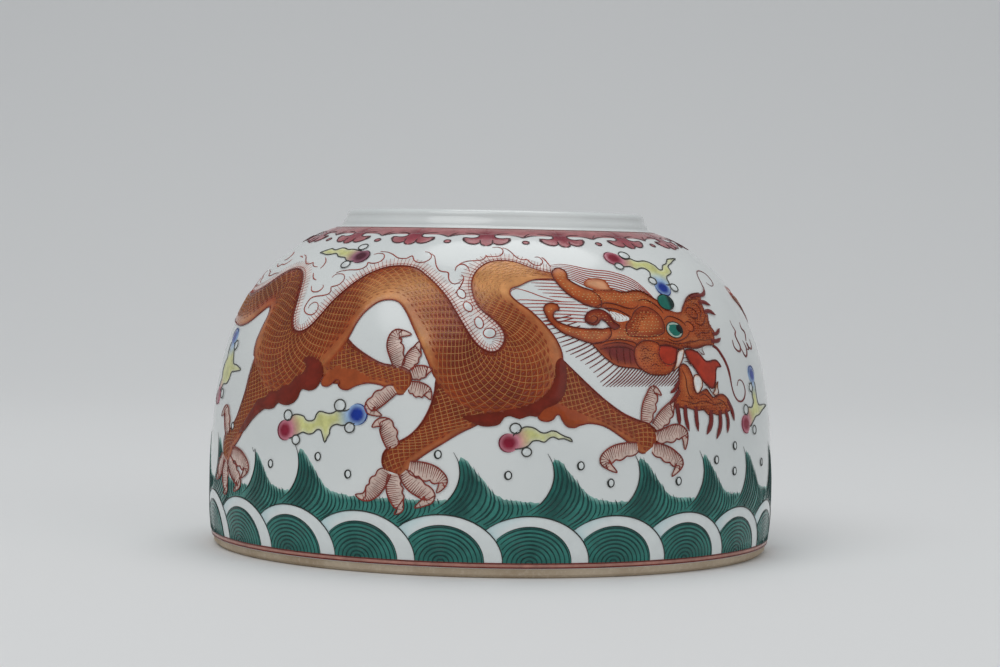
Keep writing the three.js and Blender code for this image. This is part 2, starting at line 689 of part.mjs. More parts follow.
// The clouds, each with its coloured heads
const cloudOutlines = [
  [
    [1.6, 33.8], [2.2, 35.6], [3.6, 36.4], [6.3, 37.9], [8.3, 37.5], [10.3, 36.5], [12.2, 36.9],
    [14, 35.6], [15.3, 34.3], [11.8, 35.3], [10, 34.2], [7.8, 34.4], [5.4, 32.3], [3.4, 31.5], [2, 32.3],
  ],
  [
    [-45, 34.6], [-44, 36.9], [-41.3, 38.4], [-38.3, 38.4], [-37, 37.4], [-35.6, 37.9], [-34.6, 39.9],
    [-31.3, 39.8], [-28.6, 41.5], [-25.4, 42.3], [-24.2, 40.2], [-25, 37.5], [-28.3, 37], [-31.3, 36.5],
    [-32.8, 32.3], [-34.4, 35.3], [-37, 34.1], [-39.2, 33.9], [-41.4, 32.3], [-44.2, 32.3],
  ],
  [
    [-73, 59.4], [-70.4, 58.1], [-69.6, 53.8], [-67.4, 50.2], [-62.3, 48.8], [-67.4, 47.8], [-69.6, 44.6],
    [-73.4, 42.5], [-73.8, 39.7], [-76.4, 38.9], [-77.4, 41.5], [-75, 45.6], [-75, 49.7], [-74.4, 53.1],
    [-74.3, 57.1],
  ],
  [
    [60.8, 39.7], [64.5, 41.2], [66, 43], [65.8, 48.7], [66.6, 52], [68.4, 51.2], [68.9, 47.4],
    [69.3, 41.7], [76.4, 41], [69, 39.1], [64.5, 37.4], [62.2, 34.8], [59.4, 35.3], [58.9, 37.9],
  ],
  [
    [30.2, 84.5], [31.4, 87.1], [34.4, 86.6], [38.7, 84.4], [43.8, 83.6], [45.3, 81], [48.3, 82.7],
    [53, 85.1], [57.2, 85.4], [51, 82.8], [49.5, 80.3], [45.8, 77.5], [44.6, 74], [42.5, 73.5],
    [40.9, 75.3], [41.3, 80], [37.5, 80.9], [33, 83], [31, 82.7],
  ],
  [
    [-34, 83.7], [-35, 86], [-38, 86.4], [-43, 86.7], [-46, 87.3], [-50, 86.9], [-53.4, 85.1], [-48, 84.5],
    [-44.5, 83.9], [-40.3, 82.3], [-37, 81.4], [-34.8, 81.9],
  ],
];

function clouds() {
  const drawings = cloudOutlines.map((outline) => flatTop(prism(fitted(outline))));
  const all = [...drawings, ...drawings.map((drawing) => aroundBy(drawing, halfTurn))];
  return all.map((drawing, i) => {
    return enamel(`cloud_${String(i + 1).padStart(2, "0")}`, materials.cloudYellow, drawing);
  });
}

const materials = {
  paste: new THREE.MeshStandardMaterial({ name: "bare_paste", color: 0xa8987a, roughness: 0.85 }),
  glaze: new THREE.MeshStandardMaterial({ name: "white_glaze", color: 0xdfe3df, roughness: 0.12 }),
  ironRed: new THREE.MeshStandardMaterial({ name: "iron_red", color: 0x8e3420, roughness: 0.3 }),
  puce: new THREE.MeshStandardMaterial({ name: "puce_enamel", color: 0x9c4854, roughness: 0.25 }),
  seaGreen: new THREE.MeshStandardMaterial({ name: "sea_green", color: 0x2c7d72, roughness: 0.2 }),
  seaWhite: new THREE.MeshStandardMaterial({ name: "sea_green", color: 0x7fa9a2, roughness: 0.2 }),
  cloudYellow: new THREE.MeshStandardMaterial({ name: "cloud_yellow", color: 0xdcd98f, roughness: 0.25 }),
};

const washer = new THREE.Group();
washer.add(turned("porcelain_body", materials.paste, pasteProfile()));
washer.add(
  turned("outer_glaze", materials.glaze, outerCoatProfile()),
  turned("inner_glaze", materials.glaze, innerCoatProfile()),
  turned("base_glaze", materials.glaze, baseCoatProfile()),
);
washer.add(...footLines(), neckLine(), ruyiBorder());
washer.add(waveMounds(), seaBand(), ...dragons(), ...clouds());

export default washer;
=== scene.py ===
import math
import random

import bpy
from mathutils import Matrix, Vector, geometry


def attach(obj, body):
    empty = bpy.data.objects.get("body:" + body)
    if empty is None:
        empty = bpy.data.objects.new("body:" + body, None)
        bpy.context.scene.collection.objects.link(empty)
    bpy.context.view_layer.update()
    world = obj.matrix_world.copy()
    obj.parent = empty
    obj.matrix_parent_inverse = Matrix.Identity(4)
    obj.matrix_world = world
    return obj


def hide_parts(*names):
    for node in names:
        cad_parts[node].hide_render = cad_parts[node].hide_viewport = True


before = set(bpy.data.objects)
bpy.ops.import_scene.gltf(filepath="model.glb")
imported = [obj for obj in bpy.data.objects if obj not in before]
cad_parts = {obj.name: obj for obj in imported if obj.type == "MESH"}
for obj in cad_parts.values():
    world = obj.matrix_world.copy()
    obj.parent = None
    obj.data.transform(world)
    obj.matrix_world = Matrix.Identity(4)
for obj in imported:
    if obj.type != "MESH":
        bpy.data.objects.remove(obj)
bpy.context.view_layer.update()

mm = 0.001


# Small helpers for node trees
def addNode(tree, kind, inputs=None, **settings):
    node = tree.nodes.new(kind)
    for name, value in settings.items():
        setattr(node, name, value)
    for key, value in (inputs or {}).items():
        if isinstance(value, bpy.types.NodeSocket):
            tree.links.new(value, node.inputs[key])
        else:
            node.inputs[key].default_value = value
    return node


def mathNode(tree, operation, first, second=0.0):
    return addNode(tree, "ShaderNodeMath", {0: first, 1: second}, operation=operation).outputs[0]


def vectorMath(tree, operation, first, second=(0, 0, 0)):
    return addNode(tree, "ShaderNodeVectorMath", {0: first, 1: second}, operation=operation).outputs[0]


def newTree(name, inputs, outputs=(("Geometry", "Geometry"),)):
    tree = bpy.data.node_groups.new(name, "GeometryNodeTree")
    for label, kind in inputs:
        tree.interface.new_socket(label, in_out="INPUT", socket_type="NodeSocket" + kind)
    for label, kind in outputs:
        tree.interface.new_socket(label, in_out="OUTPUT", socket_type="NodeSocket" + kind)
    start = tree.nodes.new("NodeGroupInput")
    end = tree.nodes.new("NodeGroupOutput")
    return tree, start.outputs, end.inputs


# Ends a tree with real geometry and its material
def endTree(tree, result, mesh, material):
    real = addNode(tree, "GeometryNodeRealizeInstances", {"Geometry": mesh}).outputs[0]
    painted = addNode(tree, "GeometryNodeSetMaterial", {"Geometry": real, "Material": material}).outputs[0]
    tree.links.new(painted, result["Geometry"])
    return tree


# Puts a tree on an object, with its named inputs set
def runTree(obj, tree, settings):
    modifier = obj.modifiers.new(tree.name, "NODES")
    modifier.node_group = tree
    for item in tree.interface.items_tree:
        if item.in_out == "INPUT" and item.name in settings:
            modifier[item.identifier] = settings[item.name]


# Turns an object's modifiers into its plain mesh
def bake(obj):
    graph = bpy.context.evaluated_depsgraph_get()
    graph.update()
    plain = bpy.data.meshes.new_from_object(obj.evaluated_get(graph))
    obj.modifiers.clear()
    old = obj.data
    obj.data = plain
    plain.name = obj.name
    if old.users == 0:
        bpy.data.meshes.remove(old)


def newObject(name, vertices, edges=(), faces=()):
    mesh = bpy.data.meshes.new(name)
    mesh.from_pydata([tuple(v) for v in vertices], list(edges), list(faces))
    obj = bpy.data.objects.new(name, mesh)
    bpy.context.scene.collection.objects.link(obj)
    return obj


# Hangs a piece under the root body and hides the nodes it takes the place of
def place(obj, slotName, *nodes):
    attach(obj, "root")
    if nodes:
        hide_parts(*nodes)


# The pot's form, in millimetres
potForm = {
    "bodyRadius": 60.0, "height": 71.28, "bellyHeight": 11.0, "domeHeight": 59.6, "domeRoundness": 2.74,
    "domeFullness": 3.42, "lowerWallArc": 65.0, "neckRadius": 33.7, "collarRadius": 31.8,
    "collarThickness": 3.3, "lipHeight": 1.5, "wallThickness": 3.8, "floorTop": 7.8, "floorFillet": 9.0,
    "footContactRadius": 58.3, "footBareRadius": 59.2, "footBareHeight": 1.9, "footRingWidth": 5.2,
    "footRecess": 3.2, "footChamfer": 0.7, "collarFlare": 0.9, "mouthRounding": 5.0,
}


# The outside's radius at a height, and its height at a radius on the shoulder
def wallRadius(z):
    f = potForm
    if z < f["bellyHeight"]:
        drop = f["bellyHeight"] - z
        return f["bodyRadius"] - (f["lowerWallArc"] - math.sqrt(f["lowerWallArc"] ** 2 - drop ** 2))
    rise = (z - f["bellyHeight"]) / f["domeHeight"]
    return f["bodyRadius"] * (1 - rise ** f["domeRoundness"]) ** (1 / f["domeFullness"])


def shoulderHeight(r):
    f = potForm
    rise = (1 - (r / f["bodyRadius"]) ** f["domeFullness"]) ** (1 / f["domeRoundness"])
    return f["bellyHeight"] + f["domeHeight"] * rise


# A rounded corner as a quadratic curve
def bend(start, corner, end, steps):
    points = []
    for i in range(steps + 1):
        t = i / steps
        points.append(tuple(
            (1 - t) ** 2 * a + 2 * t * (1 - t) * b + t * t * c for a, b, c in zip(start, corner, end)
        ))
    return points


# The glazed outside from the foot to the crest of the lip, as (radius, height)
def outsideLine():
    f = potForm
    lowSteps, wallSteps, flare = 8, 69, f["collarFlare"]
    neckHeight = shoulderHeight(f["neckRadius"])
    line = []
    for i in range(lowSteps + 1):
        z = f["footBareHeight"] + (f["bellyHeight"] - f["footBareHeight"]) * i / lowSteps
        line.append((wallRadius(z), z))
    for i in range(1, wallSteps + 1):
        z = f["bellyHeight"] + (neckHeight - f["bellyHeight"]) * (1 - (1 - i / wallSteps) ** 2)
        line.append((wallRadius(z), z))
    lipStart = f["height"] - f["lipHeight"]
    collar = f["collarRadius"]
    crest = (collar - f["collarThickness"] / 2, f["height"])
    line += bend(line[-1], (collar + flare, neckHeight + 0.2), (collar + flare, neckHeight + flare), 8)[1:]
    line += [(collar + flare / 2, (neckHeight + flare + lipStart) / 2)]
    line += bend((collar, lipStart), (collar, f["height"]), crest, 12)
    return line


# The inside from the crest of the lip to the middle of the floor
def insideLine():
    f = potForm
    wallSteps, step = 59, 0.01
    mouth = f["collarRadius"] - f["collarThickness"]
    crest = (f["collarRadius"] - f["collarThickness"] / 2, f["height"])
    neckHeight = shoulderHeight(f["neckRadius"])
    under = neckHeight - f["wallThickness"]
    line = bend(crest, (mouth, f["height"]), (mouth, f["height"] - f["lipHeight"]), 12)
    wall = []
    for i in range(wallSteps + 1):
        z = f["bellyHeight"] + (neckHeight - f["bellyHeight"]) * (1 - (1 - i / wallSteps) ** 2)
        r = wallRadius(z)
        slope = Vector((wallRadius(z + step) - r, step)).normalized()
        wall.append((r - slope.y * f["wallThickness"], z + slope.x * f["wallThickness"]))
    floorStart = f["floorTop"] + f["floorFillet"]
    wall = [p for p in reversed(wall) if p[0] > mouth + f["mouthRounding"] and p[1] > floorStart]
    line += bend((mouth, under + f["mouthRounding"] / 2), (mouth, under), wall[0], 10)
    line += wall[1:]
    foot = (f["bodyRadius"] - f["wallThickness"], floorStart)
    floorEdge = (foot[0] - f["floorFillet"], f["floorTop"])
    line += bend(foot, (foot[0], f["floorTop"]), floorEdge, 14)
    line += [(floorEdge[0] * k / 6, f["floorTop"]) for k in range(5, 0, -1)] + [(0.0, f["floorTop"])]
    return line


# A tree that turns a profile round the pot's axis: a grid whose rows take their
# radius and height from the profile's points, closed at the seam and the poles.
def makeTurningTree():
    tree, given, result = newTree("turnProfile", [
        ("Geometry", "Geometry"), ("Turns", "Int"), ("Material", "Material"),
    ])
    size = addNode(tree, "GeometryNodeAttributeDomainSize", {"Geometry": given["Geometry"]})
    rows = size.outputs["Point Count"]
    columns = mathNode(tree, "ADD", given["Turns"], 1)
    grid = addNode(tree, "GeometryNodeMeshGrid", {"Vertices X": columns, "Vertices Y": rows})
    index = tree.nodes.new("GeometryNodeInputIndex").outputs[0]
    column = mathNode(tree, "FLOOR", mathNode(tree, "DIVIDE", mathNode(tree, "ADD", index, 0.5), rows))
    row = mathNode(tree, "SUBTRACT", index, mathNode(tree, "MULTIPLY", column, rows))
    position = tree.nodes.new("GeometryNodeInputPosition").outputs[0]
    sample = addNode(tree, "GeometryNodeSampleIndex", {
        "Geometry": given["Geometry"], "Value": position, "Index": row,
    }, data_type="FLOAT_VECTOR")
    angle = mathNode(tree, "MULTIPLY", mathNode(tree, "DIVIDE", column, given["Turns"]), 2 * math.pi)
    turned = addNode(tree, "ShaderNodeVectorRotate", {
        "Vector": sample.outputs["Value"], "Angle": angle,
    }, rotation_type="Z_AXIS").outputs[0]
    shaped = addNode(tree, "GeometryNodeSetPosition", {
        "Geometry": grid.outputs["Mesh"], "Position": turned,
    }).outputs[0]
    closed = addNode(tree, "GeometryNodeMergeByDistance", {"Geometry": shaped, "Distance": 1e-6}).outputs[0]
    smooth = addNode(tree, "GeometryNodeSetShadeSmooth", {"Geometry": closed}).outputs[0]
    return endTree(tree, result, smooth, given["Material"])


turningTree = makeTurningTree()


# Faces of a closed shell are turned outwards when its signed volume is negative.
def faceOutwards(obj):
    mesh = obj.data
    volume = 0.0
    for polygon in mesh.polygons:
        corners = [mesh.vertices[i].co for i in polygon.vertices]
        for i in range(1, len(corners) - 1):
            volume += corners[0].dot(corners[i].cross(corners[i + 1]))
    if volume < 0:
        mesh.flip_normals()


def turn(name, profile, material, sharp=30, turns=360):
    points = [(r * mm, 0, z * mm) for r, z in profile]
    obj = newObject(name, points, [(i, i + 1) for i in range(len(points) - 1)])
    runTree(obj, turningTree, {"Turns": turns, "Material": material})
    bake(obj)
    faceOutwards(obj)
    obj.data.set_sharp_from_angle(angle=math.radians(sharp))
    return obj


# A line moved sideways, to the left of its direction
def shifted(line, distance):
    moved = []
    for i, p in enumerate(line):
        a = Vector(line[max(i - 1, 0)])
        b = Vector(line[min(i + 1, len(line) - 1)])
        along = (b - a).normalized()
        moved.append((p[0] - along.y * distance, p[1] + along.x * distance))
    return moved


# Materials
def newMaterial(name, colour, roughness, **sockets):
    material = bpy.data.materials.new(name)
    material.use_nodes = True
    shader = material.node_tree.nodes["Principled BSDF"]
    shader.inputs["Base Color"].default_value = (*colour, 1)
    shader.inputs["Roughness"].default_value = roughness
    for key, value in sockets.items():
        shader.inputs[key].default_value = value
    return material, material.node_tree, shader


def objectPlace(tree):
    return tree.nodes.new("ShaderNodeTexCoord").outputs["Object"]


def noiseNode(tree, scale, detail=3.0, rough=0.5):
    return addNode(tree, "ShaderNodeTexNoise", {
        "Vector": objectPlace(tree), "Scale": scale, "Detail": detail, "Roughness": rough,
    }).outputs["Fac"]


def mapRange(tree, value, low, high, newLow, newHigh):
    return addNode(tree, "ShaderNodeMapRange", {
        "Value": value, "From Min": low, "From Max": high, "To Min": newLow, "To Max": newHigh,
    }).outputs[0]


def mixColour(tree, factor, first, second):
    node = addNode(tree, "ShaderNodeMix", data_type="RGBA")
    for key, value in ((0, factor), (6, first), (7, second)):
        if isinstance(value, bpy.types.NodeSocket):
            tree.links.new(value, node.inputs[key])
        else:
            node.inputs[key].default_value = value if key == 0 else (*value, 1)
    return node.outputs[2]


def bumpFrom(tree, shader, height, strength, distance):
    bump = addNode(tree, "ShaderNodeBump", {"Height": height, "Strength": strength, "Distance": distance})
    tree.links.new(bump.outputs[0], shader.inputs["Normal"])


# White glaze: faintly uneven in tone and thickness, with rare fine pinholes
def whiteGlaze():
    look = {
        "light": (0.76, 0.785, 0.77), "shade": (0.69, 0.725, 0.715), "pinhole": (0.35, 0.33, 0.28),
        "roughness": 0.12, "cloudScale": 28, "pinholeScale": 130.0, "rippleScale": 160,
    }
    material, tree, shader = newMaterial("whiteGlaze", look["light"], look["roughness"])
    cloud = noiseNode(tree, look["cloudScale"])
    tone = mixColour(tree, mapRange(tree, cloud, 0.35, 0.7, 0, 1), look["light"], look["shade"])
    pin = addNode(tree, "ShaderNodeTexVoronoi", {
        "Vector": objectPlace(tree), "Scale": look["pinholeScale"],
    }).outputs["Distance"]
    speck = mapRange(tree, pin, 0.012, 0.024, 0.5, 0)
    tree.links.new(mixColour(tree, speck, tone, look["pinhole"]), shader.inputs["Base Color"])
    ripple = noiseNode(tree, look["rippleScale"], 2)
    tree.links.new(mapRange(tree, ripple, 0.3, 0.7, 0.10, 0.2), shader.inputs["Roughness"])
    bumpFrom(tree, shader, ripple, 0.05, 0.0004)
    return material


# Bare paste: matt tan biscuit with fine grain and faint blotches
def barePaste():
    look = {
        "light": (0.56, 0.46, 0.34), "dark": (0.40, 0.30, 0.20), "grit": (0.75, 0.68, 0.56),
        "roughness": 0.85, "grainScale": 900, "blotchScale": 70,
    }
    material, tree, shader = newMaterial("barePaste", look["light"], look["roughness"])
    grain = noiseNode(tree, look["grainScale"], 4, 0.7)
    blotch = noiseNode(tree, look["blotchScale"], 3)
    tone = mixColour(tree, mapRange(tree, blotch, 0.35, 0.7, 0, 1), look["light"], look["dark"])
    gritty = mixColour(tree, mapRange(tree, grain, 0.5, 0.75, 0, 0.4), tone, look["grit"])
    tree.links.new(gritty, shader.inputs["Base Color"])
    bumpFrom(tree, shader, grain, 0.5, 0.0002)
    return material


# The pot itself, turned
def makePot():
    f = potForm
    glaze, paste = whiteGlaze(), barePaste()
    coat, clearance, footRounding = 0.35, 0.05, 0.8
    outer, inner = outsideLine(), insideLine()
    outerCoat = turn("glazeOutside", outer + shifted(outer, coat)[::-1] + [outer[0]], glaze)
    innerBack = shifted(inner, coat)
    innerBack[-1] = (0.0, inner[-1][1] - coat)
    innerCoat = turn("glazeInside", innerBack[::-1] + inner, glaze)
    ringInner = f["footContactRadius"] - f["footRingWidth"]
    recess, roof = ringInner - footRounding, f["footRecess"]
    baseCoat = turn("glazeUnderfoot", [
        (0, roof), (recess * 0.5, roof), (recess - 0.4, roof), (recess - 0.1, roof - 0.15),
        (recess - 0.1, roof + coat), (0, roof + coat),
    ], glaze)
    depth = coat + clearance
    outerPaste, innerPaste = shifted(outer, depth), shifted(inner, depth)
    innerPaste[-1] = (0.0, inner[-1][1] - depth)
    footMiddle = (f["footContactRadius"] + f["footBareRadius"]) / 2 + 0.2
    footLine = [(0.0, roof + depth), (recess, roof + depth)]
    footLine += bend((recess, roof + depth), (ringInner - 0.3, 0.4), (ringInner + 0.4, 0.0), 8)[1:]
    footLine += [(ringInner + 1.5, 0.0), (f["footContactRadius"] - 1.2, 0.0)]
    footLine += bend((f["footContactRadius"] - 0.35, 0.0), (f["footContactRadius"], 0.0),
                     (f["footContactRadius"] + 0.15, 0.25), 4)
    footLine += [(footMiddle, f["footChamfer"]), (f["footBareRadius"], f["footBareHeight"]),
                 (f["footBareRadius"] - 0.15, f["footBareHeight"] + 0.06)]
    body = turn("turnedPaste", footLine + outerPaste[1:] + innerPaste[1:], paste)
    place(outerCoat, "white_glaze", "outer_glaze")
    place(innerCoat, "white_glaze", "inner_glaze")
    place(baseCoat, "white_glaze", "base_glaze")
    place(body, "bare_paste", "porcelain_body")
    print("pot turned")


makePot()


# Places on the wall are (angle, climb): the angle in degrees round from the front,
# to the right, and the millimetres up the outside of the pot from the edge it stands on
def makeWallGuide():
    line = [p for p in outsideLine() if p[0] > potForm["collarRadius"] + 0.1]
    line = [(potForm["footContactRadius"], 0.0)] + line
    points = [(r * mm, 0, z * mm) for r, z in line]
    return newObject("wallGuide", points, [(i, i + 1) for i in range(len(points) - 1)]), line


wallGuide, wallLine = makeWallGuide()


# Radius of the wall at a climb, for keeping round things round
def radiusAt(climb):
    left = climb
    for a, b in zip(wallLine, wallLine[1:]):
        length = math.hypot(b[0] - a[0], b[1] - a[1])
        if left <= length:
            return a[0] + (b[0] - a[0]) * left / length
        left -= length
    return wallLine[-1][0]


def degreesPer(climb):
    return math.degrees(1 / radiusAt(climb))


# Node group: a flat (angle, climb, lift) place becomes a point and a normal on the wall
def makeWallGroup():
    tree, given, result = newTree(
        "placeOnWall", [("Wall", "Object"), ("Flat", "Vector")], [("Point", "Vector"), ("Normal", "Vector")]
    )
    wall = addNode(tree, "GeometryNodeObjectInfo", {"Object": given["Wall"]}).outputs["Geometry"]
    curve = addNode(tree, "GeometryNodeMeshToCurve", {"Mesh": wall}).outputs[0]
    flat = addNode(tree, "ShaderNodeSeparateXYZ", {0: given["Flat"]}).outputs
    sample = addNode(tree, "GeometryNodeSampleCurve", {
        "Curves": curve, "Length": mathNode(tree, "MULTIPLY", flat["Y"], mm),
    }, mode="LENGTH")
    tangent = addNode(tree, "ShaderNodeSeparateXYZ", {0: sample.outputs["Tangent"]}).outputs
    normal = addNode(tree, "ShaderNodeCombineXYZ", {
        "X": tangent["Z"], "Z": mathNode(tree, "MULTIPLY", tangent["X"], -1.0),
    }).outputs[0]
    lift = addNode(tree, "ShaderNodeVectorMath", {
        0: normal, "Scale": mathNode(tree, "MULTIPLY", flat["Z"], mm),
    }, operation="SCALE").outputs[0]
    point = vectorMath(tree, "ADD", sample.outputs["Position"], lift)
    angle = mathNode(tree, "RADIANS", mathNode(tree, "SUBTRACT", flat["X"], 90.0))
    for name, vector in (("Point", point), ("Normal", normal)):
        turned = addNode(tree, "ShaderNodeVectorRotate", {
            "Vector": vector, "Angle": angle,
        }, rotation_type="Z_AXIS").outputs[0]
        tree.links.new(turned, result[name])
    return tree


wallGroup = makeWallGroup()


# Repeats a flat drawing so many times, so many degrees apart
def repeatFlat(tree, given):
    step = addNode(tree, "ShaderNodeCombineXYZ", {"X": given["Step"]}).outputs[0]
    places = addNode(tree, "GeometryNodeMeshLine", {"Count": given["Count"], "Offset": step}).outputs[0]
    copies = addNode(tree, "GeometryNodeInstanceOnPoints", {"Points": places, "Instance": given["Geometry"]})
    return addNode(tree, "GeometryNodeRealizeInstances", {"Geometry": copies.outputs[0]}).outputs[0]


# The point and the normal on the wall for each flat place
def wallOutputs(tree, given):
    position = tree.nodes.new("GeometryNodeInputPosition").outputs[0]
    return addNode(tree, "GeometryNodeGroup", {
        "Wall": given["Wall"], "Flat": position,
    }, node_tree=wallGroup).outputs


layingInputs = [
    ("Geometry", "Geometry"), ("Wall", "Object"), ("Count", "Int"), ("Step", "Float"),
    ("Material", "Material"),
]


# Tree that lays flat enamel shapes on the wall
def makeFillTree():
    tree, given, result = newTree("layEnamel", layingInputs)
    laid = addNode(tree, "GeometryNodeSetPosition", {
        "Geometry": repeatFlat(tree, given), "Position": wallOutputs(tree, given)["Point"],
    }).outputs[0]
    return endTree(tree, result, laid, given["Material"])


# Tree that turns flat centre lines into brush strokes lying on the wall. Each point's
# half width is an attribute; fatness is how high a stroke stands, as a share of its width.
def makeStrokeTree():
    tree, given, result = newTree("brushStrokes", layingInputs + [("Fatness", "Float")])
    curves = addNode(tree, "GeometryNodeMeshToCurve", {"Mesh": repeatFlat(tree, given)}).outputs[0]
    onWall = wallOutputs(tree, given)
    kept = addNode(tree, "GeometryNodeStoreNamedAttribute", {
        "Geometry": curves, "Name": "wallNormal", "Value": onWall["Normal"],
    }, data_type="FLOAT_VECTOR")
    laid = addNode(tree, "GeometryNodeSetPosition", {
        "Geometry": kept.outputs[0], "Position": onWall["Point"],
    }).outputs[0]
    normal = addNode(tree, "GeometryNodeInputNamedAttribute", {
        "Name": "wallNormal",
    }, data_type="FLOAT_VECTOR")
    turned = addNode(tree, "GeometryNodeSetCurveNormal", {
        "Curve": laid, "Normal": normal.outputs["Attribute"],
    }, mode="FREE").outputs[0]
    ring = addNode(tree, "GeometryNodeCurvePrimitiveCircle", {"Resolution": 6, "Radius": mm}).outputs[0]
    squash = addNode(tree, "ShaderNodeCombineXYZ", {"X": given["Fatness"], "Y": 1.0, "Z": 1.0}).outputs[0]
    flatRing = addNode(tree, "GeometryNodeTransform", {"Geometry": ring, "Scale": squash}).outputs[0]
    half = addNode(tree, "GeometryNodeInputNamedAttribute", {"Name": "half"}, data_type="FLOAT")
    swept = addNode(tree, "GeometryNodeCurveToMesh", {
        "Curve": turned, "Profile Curve": flatRing, "Scale": half.outputs["Attribute"], "Fill Caps": True,
    }).outputs[0]
    return endTree(tree, result, swept, given["Material"])


fillTree, strokeTree = makeFillTree(), makeStrokeTree()


# The place some share of the way from one place to another
def partWay(a, b, share):
    return a[0] + (b[0] - a[0]) * share, a[1] + (b[1] - a[1]) * share


# Millimetres between two places on the wall
def wallDistance(a, b):
    return math.hypot((a[0] - b[0]) / degreesPer(b[1]), a[1] - b[1])


# A smooth line through points, as a spline with short steps
def smoothLine(points, step=0.6, closed=False):
    count = len(points)
    if count < 3 and not closed:
        a, b = points[0], points[-1]
        pieces = max(2, int(math.dist(a, b) / step))
        return [tuple(a[k] + (b[k] - a[k]) * i / pieces for k in range(len(a))) for i in range(pieces + 1)]
    line = []
    spans = count if closed else count - 1
    for i in range(spans):
        p1, p2 = points[i], points[(i + 1) % count]
        p0 = points[i - 1] if closed or i > 0 else p1
        p3 = points[(i + 2) % count] if closed or i + 2 < count else p2
        pieces = max(1, round(math.dist(p1[:2], p2[:2]) / step))
        for j in range(pieces):
            t = j / pieces
            line.append(tuple(
                0.5 * (2 * b + (c - a) * t + (2 * a - 5 * b + 4 * c - d) * t ** 2
                       + (3 * b - a - 3 * c + d) * t ** 3)
                for a, b, c, d in zip(p0, p1, p2, p3)
            ))
    if not closed:
        line.append(tuple(points[-1]))
    return line


# A round or oval outline, round on the wall itself
def oval(centre, width, height, turn=0.0, count=20, start=0.0, end=360.0):
    points = []
    per = degreesPer(centre[1])
    for i in range(count + (end - start < 360)):
        t = math.radians(start + (end - start) * i / count)
        x, y = width / 2 * math.cos(t), height / 2 * math.sin(t)
        c, s = math.cos(math.radians(turn)), math.sin(math.radians(turn))
        points.append((centre[0] + (c * x - s * y) * per, centre[1] + s * x + c * y))
    return points


# Whether a point lies inside an outline, and how far it is from the outline
def inside(point, outline):
    x, y = point
    hit = False
    for (x0, y0), (x1, y1) in zip(outline, outline[1:] + outline[:1]):
        if (y0 > y) != (y1 > y) and x < (x1 - x0) * (y - y0) / (y1 - y0) + x0:
            hit = not hit
    return hit


def edgeDistance(point, outline):
    best = 1e9
    px, py = point
    for (x0, y0), (x1, y1) in zip(outline, outline[1:] + outline[:1]):
        dx, dy = x1 - x0, y1 - y0
        t = max(0, min(1, ((px - x0) * dx + (py - y0) * dy) / (dx * dx + dy * dy + 1e-12)))
        best = min(best, (px - x0 - t * dx) ** 2 + (py - y0 - t * dy) ** 2)
    return math.sqrt(best)


# A closed outline with no side longer than the step
def evenOutline(outline, step):
    even = []
    for a, b in zip(outline, outline[1:] + outline[:1]):
        length = math.dist(a, b)
        if length < 1e-4:
            continue
        pieces = max(1, math.ceil(length / step))
        for i in range(pieces):
            even.append((a[0] + (b[0] - a[0]) * i / pieces, a[1] + (b[1] - a[1]) * i / pieces))
    return even


# Lays flat geometry on the wall, smooth, with its own tints if it has any
def layOnWall(obj, tree, tints, settings):
    if tints:
        tint = obj.data.attributes.new("tint", "FLOAT_COLOR", "POINT")
        tint.data.foreach_set("color", [c for t in tints for c in (*t, 1.0)])
    runTree(obj, tree, {"Wall": wallGuide, **settings})
    bake(obj)
    obj.data.polygons.foreach_set("use_smooth", [True] * len(obj.data.polygons))


# An enamel sheet in millimetres: its rim above and its underside below the lift, the height of a row
# of triangles and the gap that inner points keep from the outline as shares of the spacing
sheetForm = {"rim": 0.02, "under": 0.12, "rowHeight": 0.866, "edgeGap": 0.45}
# What is drawn once and stands on both halves of the pot
bothSides = {"count": 2, "step": 180}


